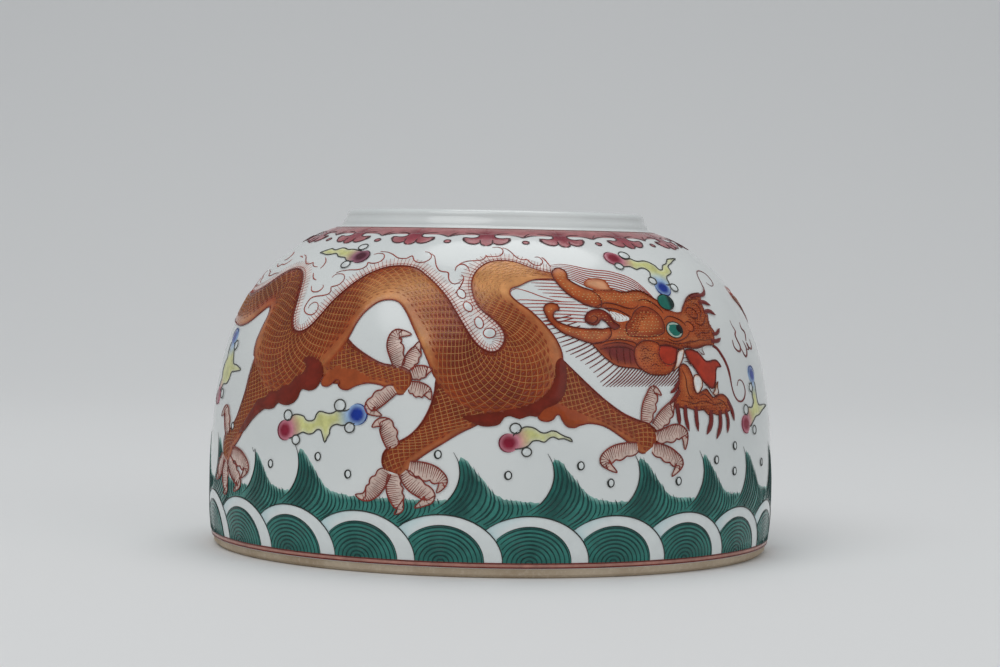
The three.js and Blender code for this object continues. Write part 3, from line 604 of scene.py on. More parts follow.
# Gathers flat shapes for one enamel and lays them on the wall as one thin closed piece
class Enamel:
    def __init__(self, name, material, thickness=0.14, lift=0.0):
        self.name, self.material = name, material
        self.thickness, self.lift = thickness, lift
        self.vertices, self.faces, self.tints = [], [], []

    def addSheet(self, points, triangles, rim, tints, lift=None):
        base = len(self.vertices)
        count = len(points)
        lift = self.lift if lift is None else lift
        for (x, y), onRim in zip(points, rim):
            self.vertices.append((x, y, lift + (sheetForm["rim"] if onRim else self.thickness)))
        for x, y in points:
            self.vertices.append((x, y, lift - sheetForm["under"]))
        self.tints += tints * 2
        edges = {}
        for face in triangles:
            self.faces.append([base + i for i in face])
            self.faces.append([base + count + i for i in reversed(face)])
            for i, j in zip(face, face[1:] + face[:1]):
                edges[(i, j)] = edges.get((i, j), 0) + 1
        for i, j in edges:
            if (j, i) not in edges:
                self.faces.append([base + j, base + i, base + count + i, base + count + j])

    # A shape from its outline; tint is a colour or a function of (x, y, distance from the edge)
    def addShape(self, outline, tint, spacing=1.0, lift=None):
        stretch = 1 / degreesPer(sum(p[1] for p in outline) / len(outline))
        flat = evenOutline([(p[0] * stretch, p[1]) for p in outline], spacing)
        xs, ys = [p[0] for p in flat], [p[1] for p in flat]
        inner = []
        rowStep, gap = spacing * sheetForm["rowHeight"], spacing * sheetForm["edgeGap"]
        for row in range(int((max(ys) - min(ys)) / rowStep) + 1):
            y = min(ys) + (row + 0.5) * rowStep
            for column in range(int((max(xs) - min(xs)) / spacing) + 2):
                x = min(xs) + (column + 0.5 * (row % 2)) * spacing
                if inside((x, y), flat) and edgeDistance((x, y), flat) > gap:
                    inner.append((x, y))
        count = len(flat)
        points, _, faces, _, _, _ = geometry.delaunay_2d_cdt(
            [Vector(p) for p in flat + inner], [], [list(range(count))], 1, 1e-5
        )
        triangles = []
        for face in faces:
            a, b, c = (points[i] for i in face)
            area = (b.x - a.x) * (c.y - a.y) - (c.x - a.x) * (b.y - a.y)
            triangles.append(list(face) if area > 0 else list(reversed(face)))
        rim, tints = [], []
        for p in points:
            away = edgeDistance((p.x, p.y), flat)
            rim.append(away < 1e-3)
            tints.append(tint(p.x / stretch, p.y, away) if callable(tint) else tint)
        self.addSheet([(p.x / stretch, p.y) for p in points], triangles, rim, tints, lift)

    # A strip between two edges, so many cells across; tint may be a function of (x, y, share across)
    def addStrip(self, left, right, across, tint, lift=None):
        columns = across + 1
        points, rim, tints = [], [], []
        for i, (a, b) in enumerate(zip(left, right)):
            for j in range(columns):
                v = j / across
                x, y = partWay(a, b, v)
                points.append((x, y))
                rim.append(j in (0, across) or i in (0, len(left) - 1))
                tints.append(tint(x, y, v) if callable(tint) else tint)
        triangles = []
        for i in range(len(left) - 1):
            for j in range(across):
                p = i * columns + j
                quad = [p, p + 1, p + columns + 1, p + columns]
                a, b, c = (points[k] for k in quad[:3])
                area = (b[0] - a[0]) * (c[1] - a[1]) - (c[0] - a[0]) * (b[1] - a[1])
                triangles.append(quad if area > 0 else quad[::-1])
        self.addSheet(points, triangles, rim, tints, lift)

    def lay(self, slotName, *nodes, count=1, step=360.0):
        obj = newObject(self.name, self.vertices, faces=self.faces)
        layOnWall(obj, fillTree, self.tints, {"Count": count, "Step": step, "Material": self.material})
        obj.data.set_sharp_from_angle(angle=math.radians(50))
        place(obj, slotName, *nodes)


# Gathers brush strokes of one colour and lays them on the wall as one piece
class Brush:
    def __init__(self, name, material, fatness=0.5):
        self.name, self.material, self.fatness = name, material, fatness
        self.vertices, self.edges, self.halves, self.tints = [], [], [], []

    # A stroke's width is in millimetres; start and end are the shares of it left at the two ends
    def draw(self, points, width, start, end, lift, step=0.6, smooth=True, closed=False, tint=None):
        taper = 0.3
        line = smoothLine(points, step, closed) if smooth else list(points)
        if closed:
            line.append(line[0])
        base = len(self.vertices)
        last = len(line) - 1
        for i, p in enumerate(line):
            t = i / last
            thin = min(
                1.0, start + (1 - start) * min(1, t / taper), end + (1 - end) * min(1, (1 - t) / taper)
            )
            self.vertices.append((p[0], p[1], lift))
            self.halves.append(width / 2 * thin)
            if tint:
                self.tints.append(tint(p[0], p[1]) if callable(tint) else tint)
        self.edges += [(base + i, base + i + 1) for i in range(last)]

    def lay(self, slotName, *nodes, count=1, step=360.0):
        obj = newObject(self.name, self.vertices, self.edges)
        half = obj.data.attributes.new("half", "FLOAT", "POINT")
        half.data.foreach_set("value", self.halves)
        layOnWall(obj, strokeTree, self.tints, {
            "Count": count, "Step": step, "Fatness": self.fatness, "Material": self.material,
        })
        place(obj, slotName, *nodes)


enamelGloss = {"Specular IOR Level": 0.3}


# Enamel that takes its colour from the piece's own tint, a little uneven in tone and gloss
def tintedEnamel(name, roughness, uneven=0.25, scale=420):
    material, tree, shader = newMaterial(name, (0.5, 0.3, 0.2), roughness, **enamelGloss)
    tint = addNode(tree, "ShaderNodeAttribute", attribute_name="tint").outputs["Color"]
    cloud = noiseNode(tree, scale, 3, 0.6)
    amount = mapRange(tree, cloud, 0.3, 0.72, 1 - uneven, 1 + uneven * 0.6)
    shaded = addNode(tree, "ShaderNodeVectorMath", {0: tint, "Scale": amount}, operation="SCALE").outputs[0]
    tree.links.new(shaded, shader.inputs["Base Color"])
    gloss = mapRange(tree, cloud, 0.3, 0.7, roughness * 0.8, roughness * 1.3)
    tree.links.new(gloss, shader.inputs["Roughness"])
    bumpFrom(tree, shader, noiseNode(tree, 1500, 2), 0.08, 0.0001)
    return material


# Enamel of one colour for strokes
def lineEnamel(name, colour, roughness, uneven=0.3):
    material, tree, shader = newMaterial(name, colour, roughness, **enamelGloss)
    cloud = noiseNode(tree, 600, 2)
    dark = tuple(c * (1 - uneven) for c in colour)
    light = tuple(min(1, c * (1 + uneven)) for c in colour)
    tone = mixColour(tree, mapRange(tree, cloud, 0.3, 0.7, 0, 1), dark, light)
    tree.links.new(tone, shader.inputs["Base Color"])
    bumpFrom(tree, shader, cloud, 0.05, 0.0001)
    return material


def blendColour(a, b, t):
    t = max(0.0, min(1.0, t))
    return tuple(x + (y - x) * t for x, y in zip(a, b))


enamelColours = {
    "white": (0.74, 0.78, 0.77), "seaGreen": (0.035, 0.21, 0.175), "seaDeep": (0.010, 0.095, 0.080),
    "seaPale": (0.34, 0.58, 0.52), "skyWash": (0.50, 0.70, 0.72), "ironRed": (0.34, 0.038, 0.016),
    "ink": (0.018, 0.02, 0.016),
}
fillMaterial = tintedEnamel("tintedEnamel", 0.16)
whiteMaterial = tintedEnamel("whiteEnamel", 0.14, 0.05)
inkMaterial = lineEnamel("blackOutline", enamelColours["ink"], 0.3)
redMaterial = lineEnamel("ironRedLine", enamelColours["ironRed"], 0.35)


# Wave mounds round the foot: each goes behind its left neighbour
moundForm = {
    "count": 22, "first": -8.8, "root": 3.3, "halfWidth": 11.9, "rise": 9.15, "greenHalfWidth": 8.3,
    "greenRise": 7.1, "rings": 9, "firstRing": 0.955, "ringSpan": 0.98, "smallestRing": 0.05,
    "lineWidth": 0.26, "thinWidth": 0.2, "ringWidth": 0.4, "shadeReach": 8,
}


def moundArc(centre, share, halfWidth, rise, count=40):
    per = degreesPer(moundForm["root"])
    angles = [math.pi * i / count for i in range(count + 1)]
    return [
        (centre + halfWidth * share * per * math.cos(t), moundForm["root"] + rise * share * math.sin(t))
        for t in angles
    ]


# The top of the mounds at an angle round the pot
def moundTop(angle):
    f = moundForm
    spacing = 360 / f["count"]
    off = (angle - f["first"] + spacing / 2) % spacing - spacing / 2
    best = f["root"]
    for side in (off, off + spacing, off - spacing):
        x = side / (f["halfWidth"] * degreesPer(f["root"]))
        if abs(x) < 1:
            best = max(best, f["root"] + f["rise"] * math.sqrt(1 - x * x))
    return best


def makeMounds():
    f, colours = moundForm, enamelColours
    white = Enamel("moundWhite", whiteMaterial, 0.1)
    green = Enamel("moundGreen", fillMaterial, 0.1, 0.09)
    ink = Brush("moundOutlines", inkMaterial)
    rings = Brush("moundRings", deepGreenLine, 0.35)
    spacing, centre = 360 / f["count"], f["first"]
    around = {"count": f["count"], "step": spacing}

    # what the left neighbour leaves in sight of a line
    def inSight(line):
        kept = []
        for x, y in line:
            dx = (x - (centre - spacing)) / (f["halfWidth"] * degreesPer(f["root"]))
            dy = (y - f["root"]) / f["rise"]
            if dx * dx + dy * dy >= 1:
                kept.append((x, y))
        return kept

    # a line in sight, closed along the neighbour's edge
    def closed(line):
        neighbour = moundArc(centre - spacing, 1, f["halfWidth"], f["rise"])
        edge = [p for p in neighbour if p[1] < line[-1][1] and p[0] > centre - spacing]
        return line + edge[::-1]

    def whiteTint(x, y, away):
        side = (x - centre) / (f["halfWidth"] * degreesPer(y))
        return blendColour(colours["skyWash"], colours["white"], 0.75 + 0.9 * side + 0.25 * away)

    def greenTint(x, y, away):
        reach = math.hypot((x - centre) / f["shadeReach"], (y - f["root"]) / f["greenRise"])
        return blendColour(colours["seaDeep"], colours["seaGreen"], 0.3 + 0.7 * reach)

    outer = inSight(moundArc(centre, 1, f["halfWidth"], f["rise"]))
    dome = inSight(moundArc(centre, 1, f["greenHalfWidth"], f["greenRise"]))
    white.addShape(closed(outer), whiteTint, 1.1)
    green.addShape(closed(dome), greenTint, 1.1)
    ink.draw(outer, f["lineWidth"], 0.7, 0.5, 0.12, smooth=False)
    ink.draw(dome, f["thinWidth"], 0.7, 0.5, 0.12, smooth=False)
    for k in range(f["rings"]):
        share = max(f["firstRing"] - k * f["ringSpan"] / f["rings"], f["smallestRing"])
        ring = inSight(moundArc(centre, share, f["greenHalfWidth"], f["greenRise"], 24))
        if len(ring) > 3:
            rings.draw(ring, f["ringWidth"], 0.5, 0.5, 0.17, smooth=False)
    white.lay("sea_green", "wave_mounds", **around)
    green.lay("sea_green", **around)
    ink.lay("black_line", **around)
    rings.lay("sea_green", **around)
    print("wave mounds laid")


# The sea above the mounds: one crest after another, hatched along the swell
seaForm = {
    "tips": [-71, -52.7, -39.8, -6.4, 11.0, 28.2, 44.2, 59.4, 76, 92.5], "tipClimb": 24.4, "lowTip": -52.7,
    "lowTipClimb": 22.8, "swellClimb": 15.1, "crestRise": 9.3, "fullSpacing": 16.4, "hatchFoot": 8.6,
    "hatchRise": 15.8, "hatchStep": 0.86, "hatchPointStep": 0.55, "edgeStep": 0.43,
}
# The crest's hollow edge as (climb, degrees right of the tip), and its ragged back
# as (degrees right of the tip, climb)
hollowEdge = [
    (24.4, 0), (22.6, 0.6), (20.4, 0.9), (18.2, 0.5), (16.2, -0.5), (14.6, -1.9), (13, -4), (11, -6.5),
    (9, -8.6),
]
raggedBack = [
    (0.4, 23.3), (1, 23.5), (1.7, 23.3), (2.5, 22.6), (3.5, 21.3), (4.5, 20.1), (5.5, 18.8), (6.5, 17.5),
    (7.5, 16.4), (9, 15.7), (11, 15.3), (14, 15.1), (40, 15.1),
]


# The value at x in a table of pairs
def between(table, x):
    for (x0, y0), (x1, y1) in zip(table, table[1:]):
        if min(x0, x1) <= x <= max(x0, x1):
            return y0 + (y1 - y0) * (x - x0) / (x1 - x0)
    nearFirst = abs(x - table[0][0]) < abs(x - table[-1][0])
    return table[0][1] if nearFirst else table[-1][1]


def makeSea():
    f, colours = seaForm, enamelColours
    rnd = random.Random(5)
    swell, foot = f["swellClimb"], f["hatchFoot"]
    tips = [(t, f["lowTipClimb"] if t == f["lowTip"] else f["tipClimb"]) for t in f["tips"]]
    green = Enamel("seaGreen", fillMaterial, 0.1)
    lines = Brush("seaHatching", deepGreenLine, 0.35)
    ink = Brush("crestLines", inkMaterial)
    for i, (tip, climb) in enumerate(tips):
        following = tips[(i + 1) % len(tips)][0] + (180 if i + 1 == len(tips) else 0)
        narrow = min(1.0, (following - tip) / f["fullSpacing"])

        def backAt(x, tip=tip, climb=climb, narrow=narrow):
            back = between(raggedBack, (x - tip) / narrow)
            return swell + (back - swell) * (climb - swell) / f["crestRise"]

        hollow = [(tip + between(hollowEdge, y), y) for y in (climb, 22.6, 20.4, 18.2, 16.2, 14.6)]
        hollow = [p for p in hollow if p[1] <= climb]
        hollow += [(tip - 3.6, 13.3), (tip - 5, moundTop(tip - 5) - 0.1)]
        crest = [(tip - 0.35, climb + 0.1), (tip + 0.15, climb - 0.8)] + hollow[1:-2] + [(tip - 4.2, 13.0)]
        hollow[0] = (tip + 0.8, climb - 1.3)
        right, x = [], tip + 1.0
        while x < following - 1.4:
            right.append((x, backAt(x) + rnd.uniform(-0.15, 0.3)))
            x += f["edgeStep"]
        bottom, x = [], following - 1.8
        while x > tip - 5:
            bottom.append((x, moundTop(x) - 0.15))
            x -= 0.8

        def tint(x, y, away, tip=tip, backAt=backAt):
            below = backAt(x) - y
            core = max(0.0, 1 - abs(x - tip - 4.4 + 0.42 * (22 - y)) / 4.6)
            base = blendColour(colours["seaGreen"], colours["seaDeep"], core * 1.15)
            return blendColour(colours["seaPale"], base, 0.35 + below * 1.0)

        green.addShape(hollow[::-1] + right + bottom, tint, 0.85)
        ink.draw(crest, 0.26, 0.3, 0.3, 0.12)
        k = 1
        while k * f["hatchStep"] < following - tip + 1.5:
            x0 = tip + k * f["hatchStep"] + rnd.uniform(-0.1, 0.1)
            y0 = backAt(x0) + rnd.uniform(-0.1, 0.45)
            squeeze = (y0 - foot) / f["hatchRise"]
            line, y = [], y0
            while y > foot:
                x = x0 + between(hollowEdge, foot + (y - foot) / squeeze) * (0.25 + 0.75 * squeeze)
                if y < moundTop(x) or x > following + between(hollowEdge, y) - 0.25:
                    break
                line.append((x, y))
                y -= f["hatchPointStep"]
            if len(line) > 2:
                core = 1 if 2 <= k <= 9 else 0.72
                lines.draw(line, rnd.uniform(0.34, 0.48) * core, 0.1, 0.5, 0.13)
            k += 1
    green.lay("sea_green", "sea_band", **bothSides)
    lines.lay("sea_green", **bothSides)
    ink.lay("black_line", **bothSides)
    print("sea laid")


# Foam drops over the sea
foamDrops = [
    (-46.7, 20.1), (-34.2, 22.4), (-27.3, 19.4), (-9.6, 24), (3.4, 20.3), (17, 22.2), (23, 18.8),
    (38.2, 18.7), (48.9, 22.4), (55.5, 24.9), (55.2, 19.8), (69, 20.7), (-62, 26.5),
]


def makeFoam():
    look = {"width": 1.25, "height": 1.55, "points": 14}
    white = Enamel("foamDrops", whiteMaterial, 0.12, 0.1)
    ink = Brush("foamOutlines", inkMaterial)
    for place2d in foamDrops:
        drop = oval(place2d, look["width"], look["height"], 0, look["points"])
        white.addShape(drop, enamelColours["white"], 0.6)
        ink.draw(drop, 0.26, 1, 1, 0.16, closed=True)
        shade = oval(place2d, 1.3, 1.6, 0, look["points"], 110, 290)
        ink.draw(shade, 0.42, 0.3, 0.3, 0.17)
    white.lay("white_glaze", **bothSides)
    ink.lay("black_line", **bothSides)
    print("foam drops laid")


# Two red lines with a pink wash between them round the foot
def makeFootLines():
    look = {"lower": 2.42, "upper": 3.25, "width": 0.3, "wash": (0.50, 0.24, 0.19)}
    red = Brush("footLines", darkRedLine, 0.3)
    lower, upper = ([(a, look[name]) for a in range(361)] for name in ("lower", "upper"))
    for line in (lower, upper):
        red.draw(line[:-1], look["width"], 1, 1, 0.09, smooth=False, closed=True)
    wash = Enamel("footWash", fillMaterial, 0.06)
    wash.addStrip(lower, upper, 2, look["wash"])
    red.lay("iron_red", "foot_line_lower", "foot_line_upper")
    wash.lay("iron_red")
    print("foot lines laid")


# The ruyi border: a band at the root of the collar with cloud-headed lappets
ruyiForm = {
    "count": 16, "first": -2.3, "bandTop": 78.2, "bandLow": 74.5, "lineClimb": 78.1, "dotClimb": 71.5,
}
# Half of a lappet as (degrees from its middle, climb): its side lobe and half of its middle lobe
sideLobe = [
    (2.4, 73.6), (3.2, 73.05), (4.6, 72.85), (5.9, 73.05), (6.7, 72.95), (6.7, 72.35), (6.2, 71.6),
    (5.3, 70.9), (4.1, 70.5), (2.9, 70.55), (2.0, 71.05),
]
middleLobe = [(1.75, 71.65), (1.7, 70.9), (1.1, 70.25), (0.3, 70.0)]


def makeRuyiBorder():
    f = ruyiForm
    look = {
        "dark": (0.20, 0.012, 0.030), "mid": (0.33, 0.045, 0.065), "pale": (0.44, 0.15, 0.16),
        "band": (0.36, 0.115, 0.11), "grey": (0.32, 0.20, 0.19), "bandSteps": 30, "pendant": 1.0,
    }
    enamel = Enamel("ruyiPuce", fillMaterial, 0.1)
    ink = Brush("ruyiOutlines", wineInk, 0.3)
    red = Brush("neckLine", darkRedLine, 0.4)
    spacing = 360 / f["count"]
    around = {"count": f["count"], "step": spacing}
    middle, gap = f["first"], f["first"] + spacing / 2
    steps = [middle + spacing * i / look["bandSteps"] for i in range(look["bandSteps"] + 1)]

    # between the lappets the band dips into a small pendant above each dot
    def bandEdge(angle):
        return f["bandLow"] - look["pendant"] * max(0.0, 1 - abs(angle - gap + 0.4) / 3.4) ** 1.4

    def bandTint(x, y, v):
        atStem = max(0.0, 1 - min(abs(x - middle), abs(x - middle - spacing)) / 4.2)
        base = blendColour(look["band"], blendColour(look["pale"], look["grey"], (v - 0.7) * 2), v)
        return blendColour(base, look["dark"], 1.2 * atStem * v)

    enamel.addStrip([(a, f["bandTop"]) for a in steps], [(a, bandEdge(a)) for a in steps], 5, bandTint)
    red.draw([(a, f["lineClimb"]) for a in steps], 0.34, 1, 1, 0.03, smooth=False)
    lobes = smoothLine(sideLobe, 0.4) + smoothLine(middleLobe, 0.4)
    half = [(2.4, 74.9)] + lobes
    outline = [(middle + x, y) for x, y in half] + [(middle - x, y) for x, y in half[::-1]]

    def tint(x, y, away):
        centre = math.hypot((x - middle) * 0.62, (y - 74.6) * 0.62)
        rim = blendColour(look["mid"], look["pale"], (centre - 1.5) / 2.0)
        return blendColour(look["dark"], rim, centre / 2.3)

    enamel.addShape(outline, tint, 0.55, 0.07)
    # lines of a lappet's half: their points, width, both ends and lift
    halfLines = [
        ([(2.4, 74.7)] + sideLobe[:5], 0.3, 0.6, 1, 0.14),
        (sideLobe[3:7], 0.62, 0.2, 0.3, 0.16),
        (sideLobe[5:], 0.3, 1, 0.7, 0.14),
        (middleLobe, 0.3, 1, 0.8, 0.15),
        ([(1.8, 72.2), (1.75, 71.2)], 0.36, 0.3, 0.6, 0.17),
        ([(2.5, 74.6), (4.2, 75.1), (7, 75.2)], 0.2, 0.9, 0.2, 0.14),
    ]
    for side in (-1, 1):
        for points, *pen in halfLines:
            ink.draw([(middle + side * x, y) for x, y in points], *pen)
    dip = [(gap + x, bandEdge(gap + x) - 0.02) for x in (-4.4, -3, -1.6, -0.4, 0.8, 2, 3.2, 4.4)]
    ink.draw(dip, 0.26, 0.2, 0.2, 0.12)
    ink.draw([(gap - 0.2, 73.8), (gap + 1.0, 74.8), (gap + 2.2, 75.5)], 0.2, 0.9, 0.2, 0.15)
    dot = oval((gap, f["dotClimb"]), 1.35, 1.2, 0, 16)
    enamel.addShape(dot, look["pale"], 0.5, 0.03)
    ink.draw(dot, 0.3, 1, 1, 0.1, closed=True)
    enamel.lay("puce_enamel", "shoulder_band", **around)
    ink.lay("black_line", **around)
    red.lay("iron_red", "neck_line", **around)
    print("ruyi border laid")


# Each cloud: its trailing body, coloured heads (place, radius, colour) and white curls (place, radius)
cloudDrawings = [
    ([
        (4.2, 27.9), (5.5, 29.1), (6.3, 29.6), (7.4, 29.6), (8.3, 29.3), (9.3, 28.6), (10.3, 28.5),
        (11.3, 28.9), (12.2, 28.8), (13, 28.3), (14, 27.8), (14.9, 27.5), (15.3, 26.8), (13.7, 27.4),
        (12.7, 27.3), (11.8, 27.7), (11, 27.5), (10, 26.7), (9, 27), (7.8, 26.9), (7, 26), (5.4, 25.4),
        (4.2, 25.6),
    ], [((3.4, 26.5), 1.9, "magenta")], [((4.6, 29.3), 1.1), ((6.7, 24.8), 0.95)]),
    (
        [
            (-42.6, 28.6), (-41.3, 30), (-40.3, 30.3), (-39, 30.2), (-38.3, 30), (-37.6, 29.3),
            (-36.5, 29.2), (-35.6, 29.6), (-35.3, 30.5), (-34.6, 31.2), (-33.5, 31.1), (-32.4, 30.9),
            (-31.3, 31.1), (-30.4, 31.6), (-28.6, 31.6), (-26.6, 32.2), (-26, 29.6), (-28.3, 28.9),
            (-29.3, 28.7), (-30.3, 28.9), (-31.3, 28.5), (-31.8, 27.8), (-31.8, 27), (-32.3, 26.2),
            (-32.8, 25.2), (-33.3, 26.2), (-33.9, 27.5), (-34.8, 27.6), (-35.8, 26.8), (-37, 26.6),
            (-38.2, 26.9), (-39.2, 26.5), (-40.4, 26), (-42, 25.6),
        ],
        [((-43, 27), 2.1, "magenta"), ((-26, 31), 2.2, "blue")],
        [((-42.5, 30), 1.15), ((-39.9, 25.3), 1.05), ((-29.9, 32.6), 1.3), ((-27.4, 28.4), 1.1)],
    ),
    (
        [
            (-73.8, 43.5), (-74.4, 41.5), (-73.6, 40.2), (-75, 38.8), (-75.2, 37), (-74.6, 35.6), (-76, 34),
            (-74.6, 33), (-73.4, 33.6), (-72, 34.6), (-69.6, 34.8), (-68, 36), (-67.4, 37.3), (-65.2, 37.6),
            (-62.3, 38.1), (-65, 38.9), (-67.4, 39.2), (-68.6, 40.6), (-69.6, 42), (-70.6, 43.2),
        ],
        [((-72.3, 44.6), 2.0, "blue"), ((-75.5, 32), 2.0, "magenta")],
        [((-68.8, 43), 1.1), ((-71.4, 32.6), 1.1)],
    ),
    (
        [
            (61.6, 30.6), (62.5, 32.3), (64.5, 32.2), (66, 33.3), (65.8, 34.7), (66.6, 37.4), (68.4, 37.2),
            (68.5, 35.5), (68.5, 33.8), (69.3, 32.6), (71.5, 32.4), (73.5, 32.4), (76.4, 32), (72, 31.3),
            (69, 30.5), (66.5, 30.2), (64.5, 29.2), (62.6, 28.4),
        ],
        [((67.3, 38.9), 1.9, "blue"), ((60.8, 29), 2.0, "magenta")],
        [((65.3, 36.3), 1.0), ((61.2, 31.9), 1.15), ((64.9, 27.6), 1.0)],
    ),
    (
        [
            (34.4, 67), (36, 66.2), (38, 66.4), (38.7, 65.9), (40, 65.6), (42, 65.8), (43.8, 65.3),
            (45, 64.3), (45.3, 63.3), (46.5, 63.2), (47.3, 63.9), (48.3, 64.6), (50, 65), (51.5, 65.8),
            (53, 66.5), (57.2, 66.7), (54.5, 65.9), (53, 65.3), (51, 64.7), (49.8, 64), (49.5, 62.7),
            (48.3, 62), (46.5, 61.4), (45.8, 60.5), (45.6, 59.3), (43.5, 59.2), (41.4, 60), (40.7, 61.3),
            (41.3, 62.5), (40.5, 63.5), (39, 63.6), (37.5, 63.2), (36, 64), (34, 64), (33, 65),
        ],
        [((32.4, 66.4), 2.1, "magenta"), ((42.5, 58.3), 1.95, "blue")],
        [((36.6, 67.4), 1.25), ((32.6, 64), 1.0), ((40.4, 60.1), 1.0), ((46.4, 58.4), 1.05)],
    ),
    ([
        (-37, 66.8), (-38, 67.3), (-41, 67.8), (-43, 67.7), (-44.5, 68.1), (-46, 68.2), (-48, 67.5),
        (-50, 67.9), (-51.5, 67.4), (-53.4, 66.5), (-52, 66.3), (-50, 65.9), (-48, 66), (-46, 66.3),
        (-44.5, 65.5), (-43, 65.2), (-41.5, 65.1), (-40.3, 64.3), (-38.6, 64), (-37, 64.4),
    ], [((-36.3, 65.5), 2.0, "darkMagenta")], [((-38.3, 68.6), 1.1), ((-39.3, 63), 1.1)]),
]
cloudColours = {
    "magenta": ((0.24, 0.008, 0.03), (0.60, 0.22, 0.28)),
    "darkMagenta": ((0.08, 0.01, 0.025), (0.36, 0.14, 0.20)),
    "blue": ((0.008, 0.035, 0.30), (0.34, 0.50, 0.74)), "yellow": ((0.66, 0.66, 0.27), (0.75, 0.76, 0.54)),
}


def makeClouds():
    fill = Enamel("cloudColours", fillMaterial, 0.11)
    blue = Enamel("cloudBlues", fillMaterial, 0.11, 0.05)
    ink = Brush("cloudOutlines", softInk, 0.45)
    rimLine = Brush("cloudHeadEdges", tintedLine, 0.4)
    for body, heads, curls in cloudDrawings:
        trail = smoothLine(body, 0.5, closed=True)
        opposite = trail[len(trail) // 2]

        def tint(x, y, away, heads=heads):
            core, rim = cloudColours["yellow"]
            colour = blendColour(rim, core, away * 1.4)
            for centre, radius, name in heads:
                near = wallDistance((x, y), centre) - radius
                colour = blendColour(cloudColours[name][1], colour, near / 2.6)
            return colour

        fill.addShape(trail, tint, 0.7)
        ink.draw(trail, 0.26, 1, 1, 0.12, smooth=False, closed=True)
        for centre, radius, name in heads:
            core, rim = cloudColours[name]
            piece = blue if name == "blue" else fill

            def headTint(x, y, away, core=core, rim=rim, radius=radius):
                return blendColour(rim, core, away / radius * 2.2)

            piece.addShape(oval(centre, radius * 2, radius * 1.9, 0, 22), headTint, 0.5, 0.1)
            # the head's edge is drawn on the side that looks away from its cloud
            side = math.degrees(math.atan2(centre[1] - 0.5 * (trail[0][1] + opposite[1]),
                                           centre[0] - 0.5 * (trail[0][0] + opposite[0])))
            edge = oval(centre, radius * 2, radius * 1.9, 0, 16, side - 95, side + 95)
            rimLine.draw(edge, 0.28, 0.2, 0.2, 0.21, tint=blendColour(core, (0.02, 0.02, 0.03), 0.3))
        for centre, radius in curls:
            curl = oval(centre, radius * 2, radius * 1.8, 0, 14)
            fill.addShape(curl, enamelColours["white"], 0.6, 0.11)
            ink.draw(curl, 0.28, 1, 1, 0.21, closed=True)
    rimLine.lay("black_line", **bothSides)
    fill.lay("cloud_yellow", *[f"cloud_{i:02d}" for i in range(1, 13)], **bothSides)
    blue.lay("cloud_blue", **bothSides)
    ink.lay("black_line", **bothSides)
    print("clouds laid")


# Flame tongues before the dragon's snout
flameStrokes = [
    [
        (61.5, 46.4), (61.4, 45), (62.5, 44.1), (64, 44), (64.8, 45), (64.2, 46.3), (64, 47.5), (65, 48.3),
        (64.3, 49.5), (64.2, 50.7),
    ],
    [(65, 44.5), (66, 43), (67, 42.8), (68, 43.5), (68.5, 44.8), (67.5, 46.2)],
    [(69, 44.3), (70.3, 44.2), (70, 45.5), (71, 44.5), (73, 44.3), (73.8, 45.5), (73.5, 46.4)],
    [(70, 46), (71.5, 47.8), (70, 48.8), (70.5, 50.2)],
]


def makeFlame():
    red = Brush("flame", darkRedLine, 0.3)
    for line in flameStrokes:
        red.draw(line, 0.52, 0.5, 0.2, 0.05, 0.4)
    red.lay("iron_red", **bothSides)
    print("flames laid")


# The dragon's body from the tail to the neck, as (back edge, belly edge) places
bodyStations = [
    (-103, 56.5, -102.6, 55.6), (-99, 56.2, -98.4, 53.6), (-95, 55.4, -94.2, 51.6), (-91, 54.9, -90.3, 49.6),
    (-87, 54.7, -86.3, 48.4), (-80, 54.6, -79, 47.7), (-73, 55.0, -71.5, 47.2), (-67, 57.0, -66, 48.1),
    (-63, 59.4, -62, 50.1), (-59, 61.2, -59.3, 51.7), (-55, 61.3, -57.9, 51.7), (-51.8, 59.7, -57.2, 49.8),
    (-49.6, 56.6, -57.8, 46.8), (-48.2, 53.0, -58.2, 43.6), (-47.2, 49.6, -56.8, 40.2),
    (-45.6, 47.4, -51, 34.5), (-43.4, 47.0, -44.5, 34.2), (-41.2, 48.1, -39.4, 36.2), (-39, 50.9, -35, 39.6),
    (-37.2, 53.8, -31.7, 43.4), (-35, 56.6, -30.1, 46.5), (-32.4, 59.3, -29.2, 49.2),
    (-29.4, 61.4, -27.8, 51.7), (-26, 62.7, -25.4, 53.9), (-22, 63.0, -22.8, 54.5),
    (-18.5, 62.3, -20.4, 53.9), (-15.5, 60.4, -18.2, 51.6), (-12.5, 58.0, -16.4, 48.8),
    (-9.8, 55.2, -14.4, 45.5), (-7.6, 52.1, -12.7, 42.3), (-5.6, 49.1, -11.0, 38.9), (-4, 46.8, -8, 34.2),
    (-2.3, 45.0, -3, 31.8), (-0.3, 44.1, 3, 31.9), (1.3, 44.6, 8.5, 33.2), (2.3, 46.3, 12.6, 37.3),
    (2.2, 48.0, 13.9, 42.6), (1.0, 49.8, 13.1, 46.2), (-0.8, 51.4, 10.9, 49.5), (-2.7, 53.0, 8, 52.6),
    (-4.0, 55.0, 5.4, 54.5), (-4.8, 57.5, 3.8, 56.1), (-4.9, 59.8, 3.7, 57.3), (-4.2, 61.8, 4.3, 57.9),
    (-2.7, 63.6, 5.3, 58.2), (-0.5, 64.8, 6.2, 58.6), (2.5, 65.1, 7.3, 59.2), (5.5, 64.6, 8.7, 59.8),
    (8.5, 63.3, 10.3, 60.1), (11.5, 62.3, 12.2, 60.2), (14.2, 61.8, 14.4, 60.2),
]
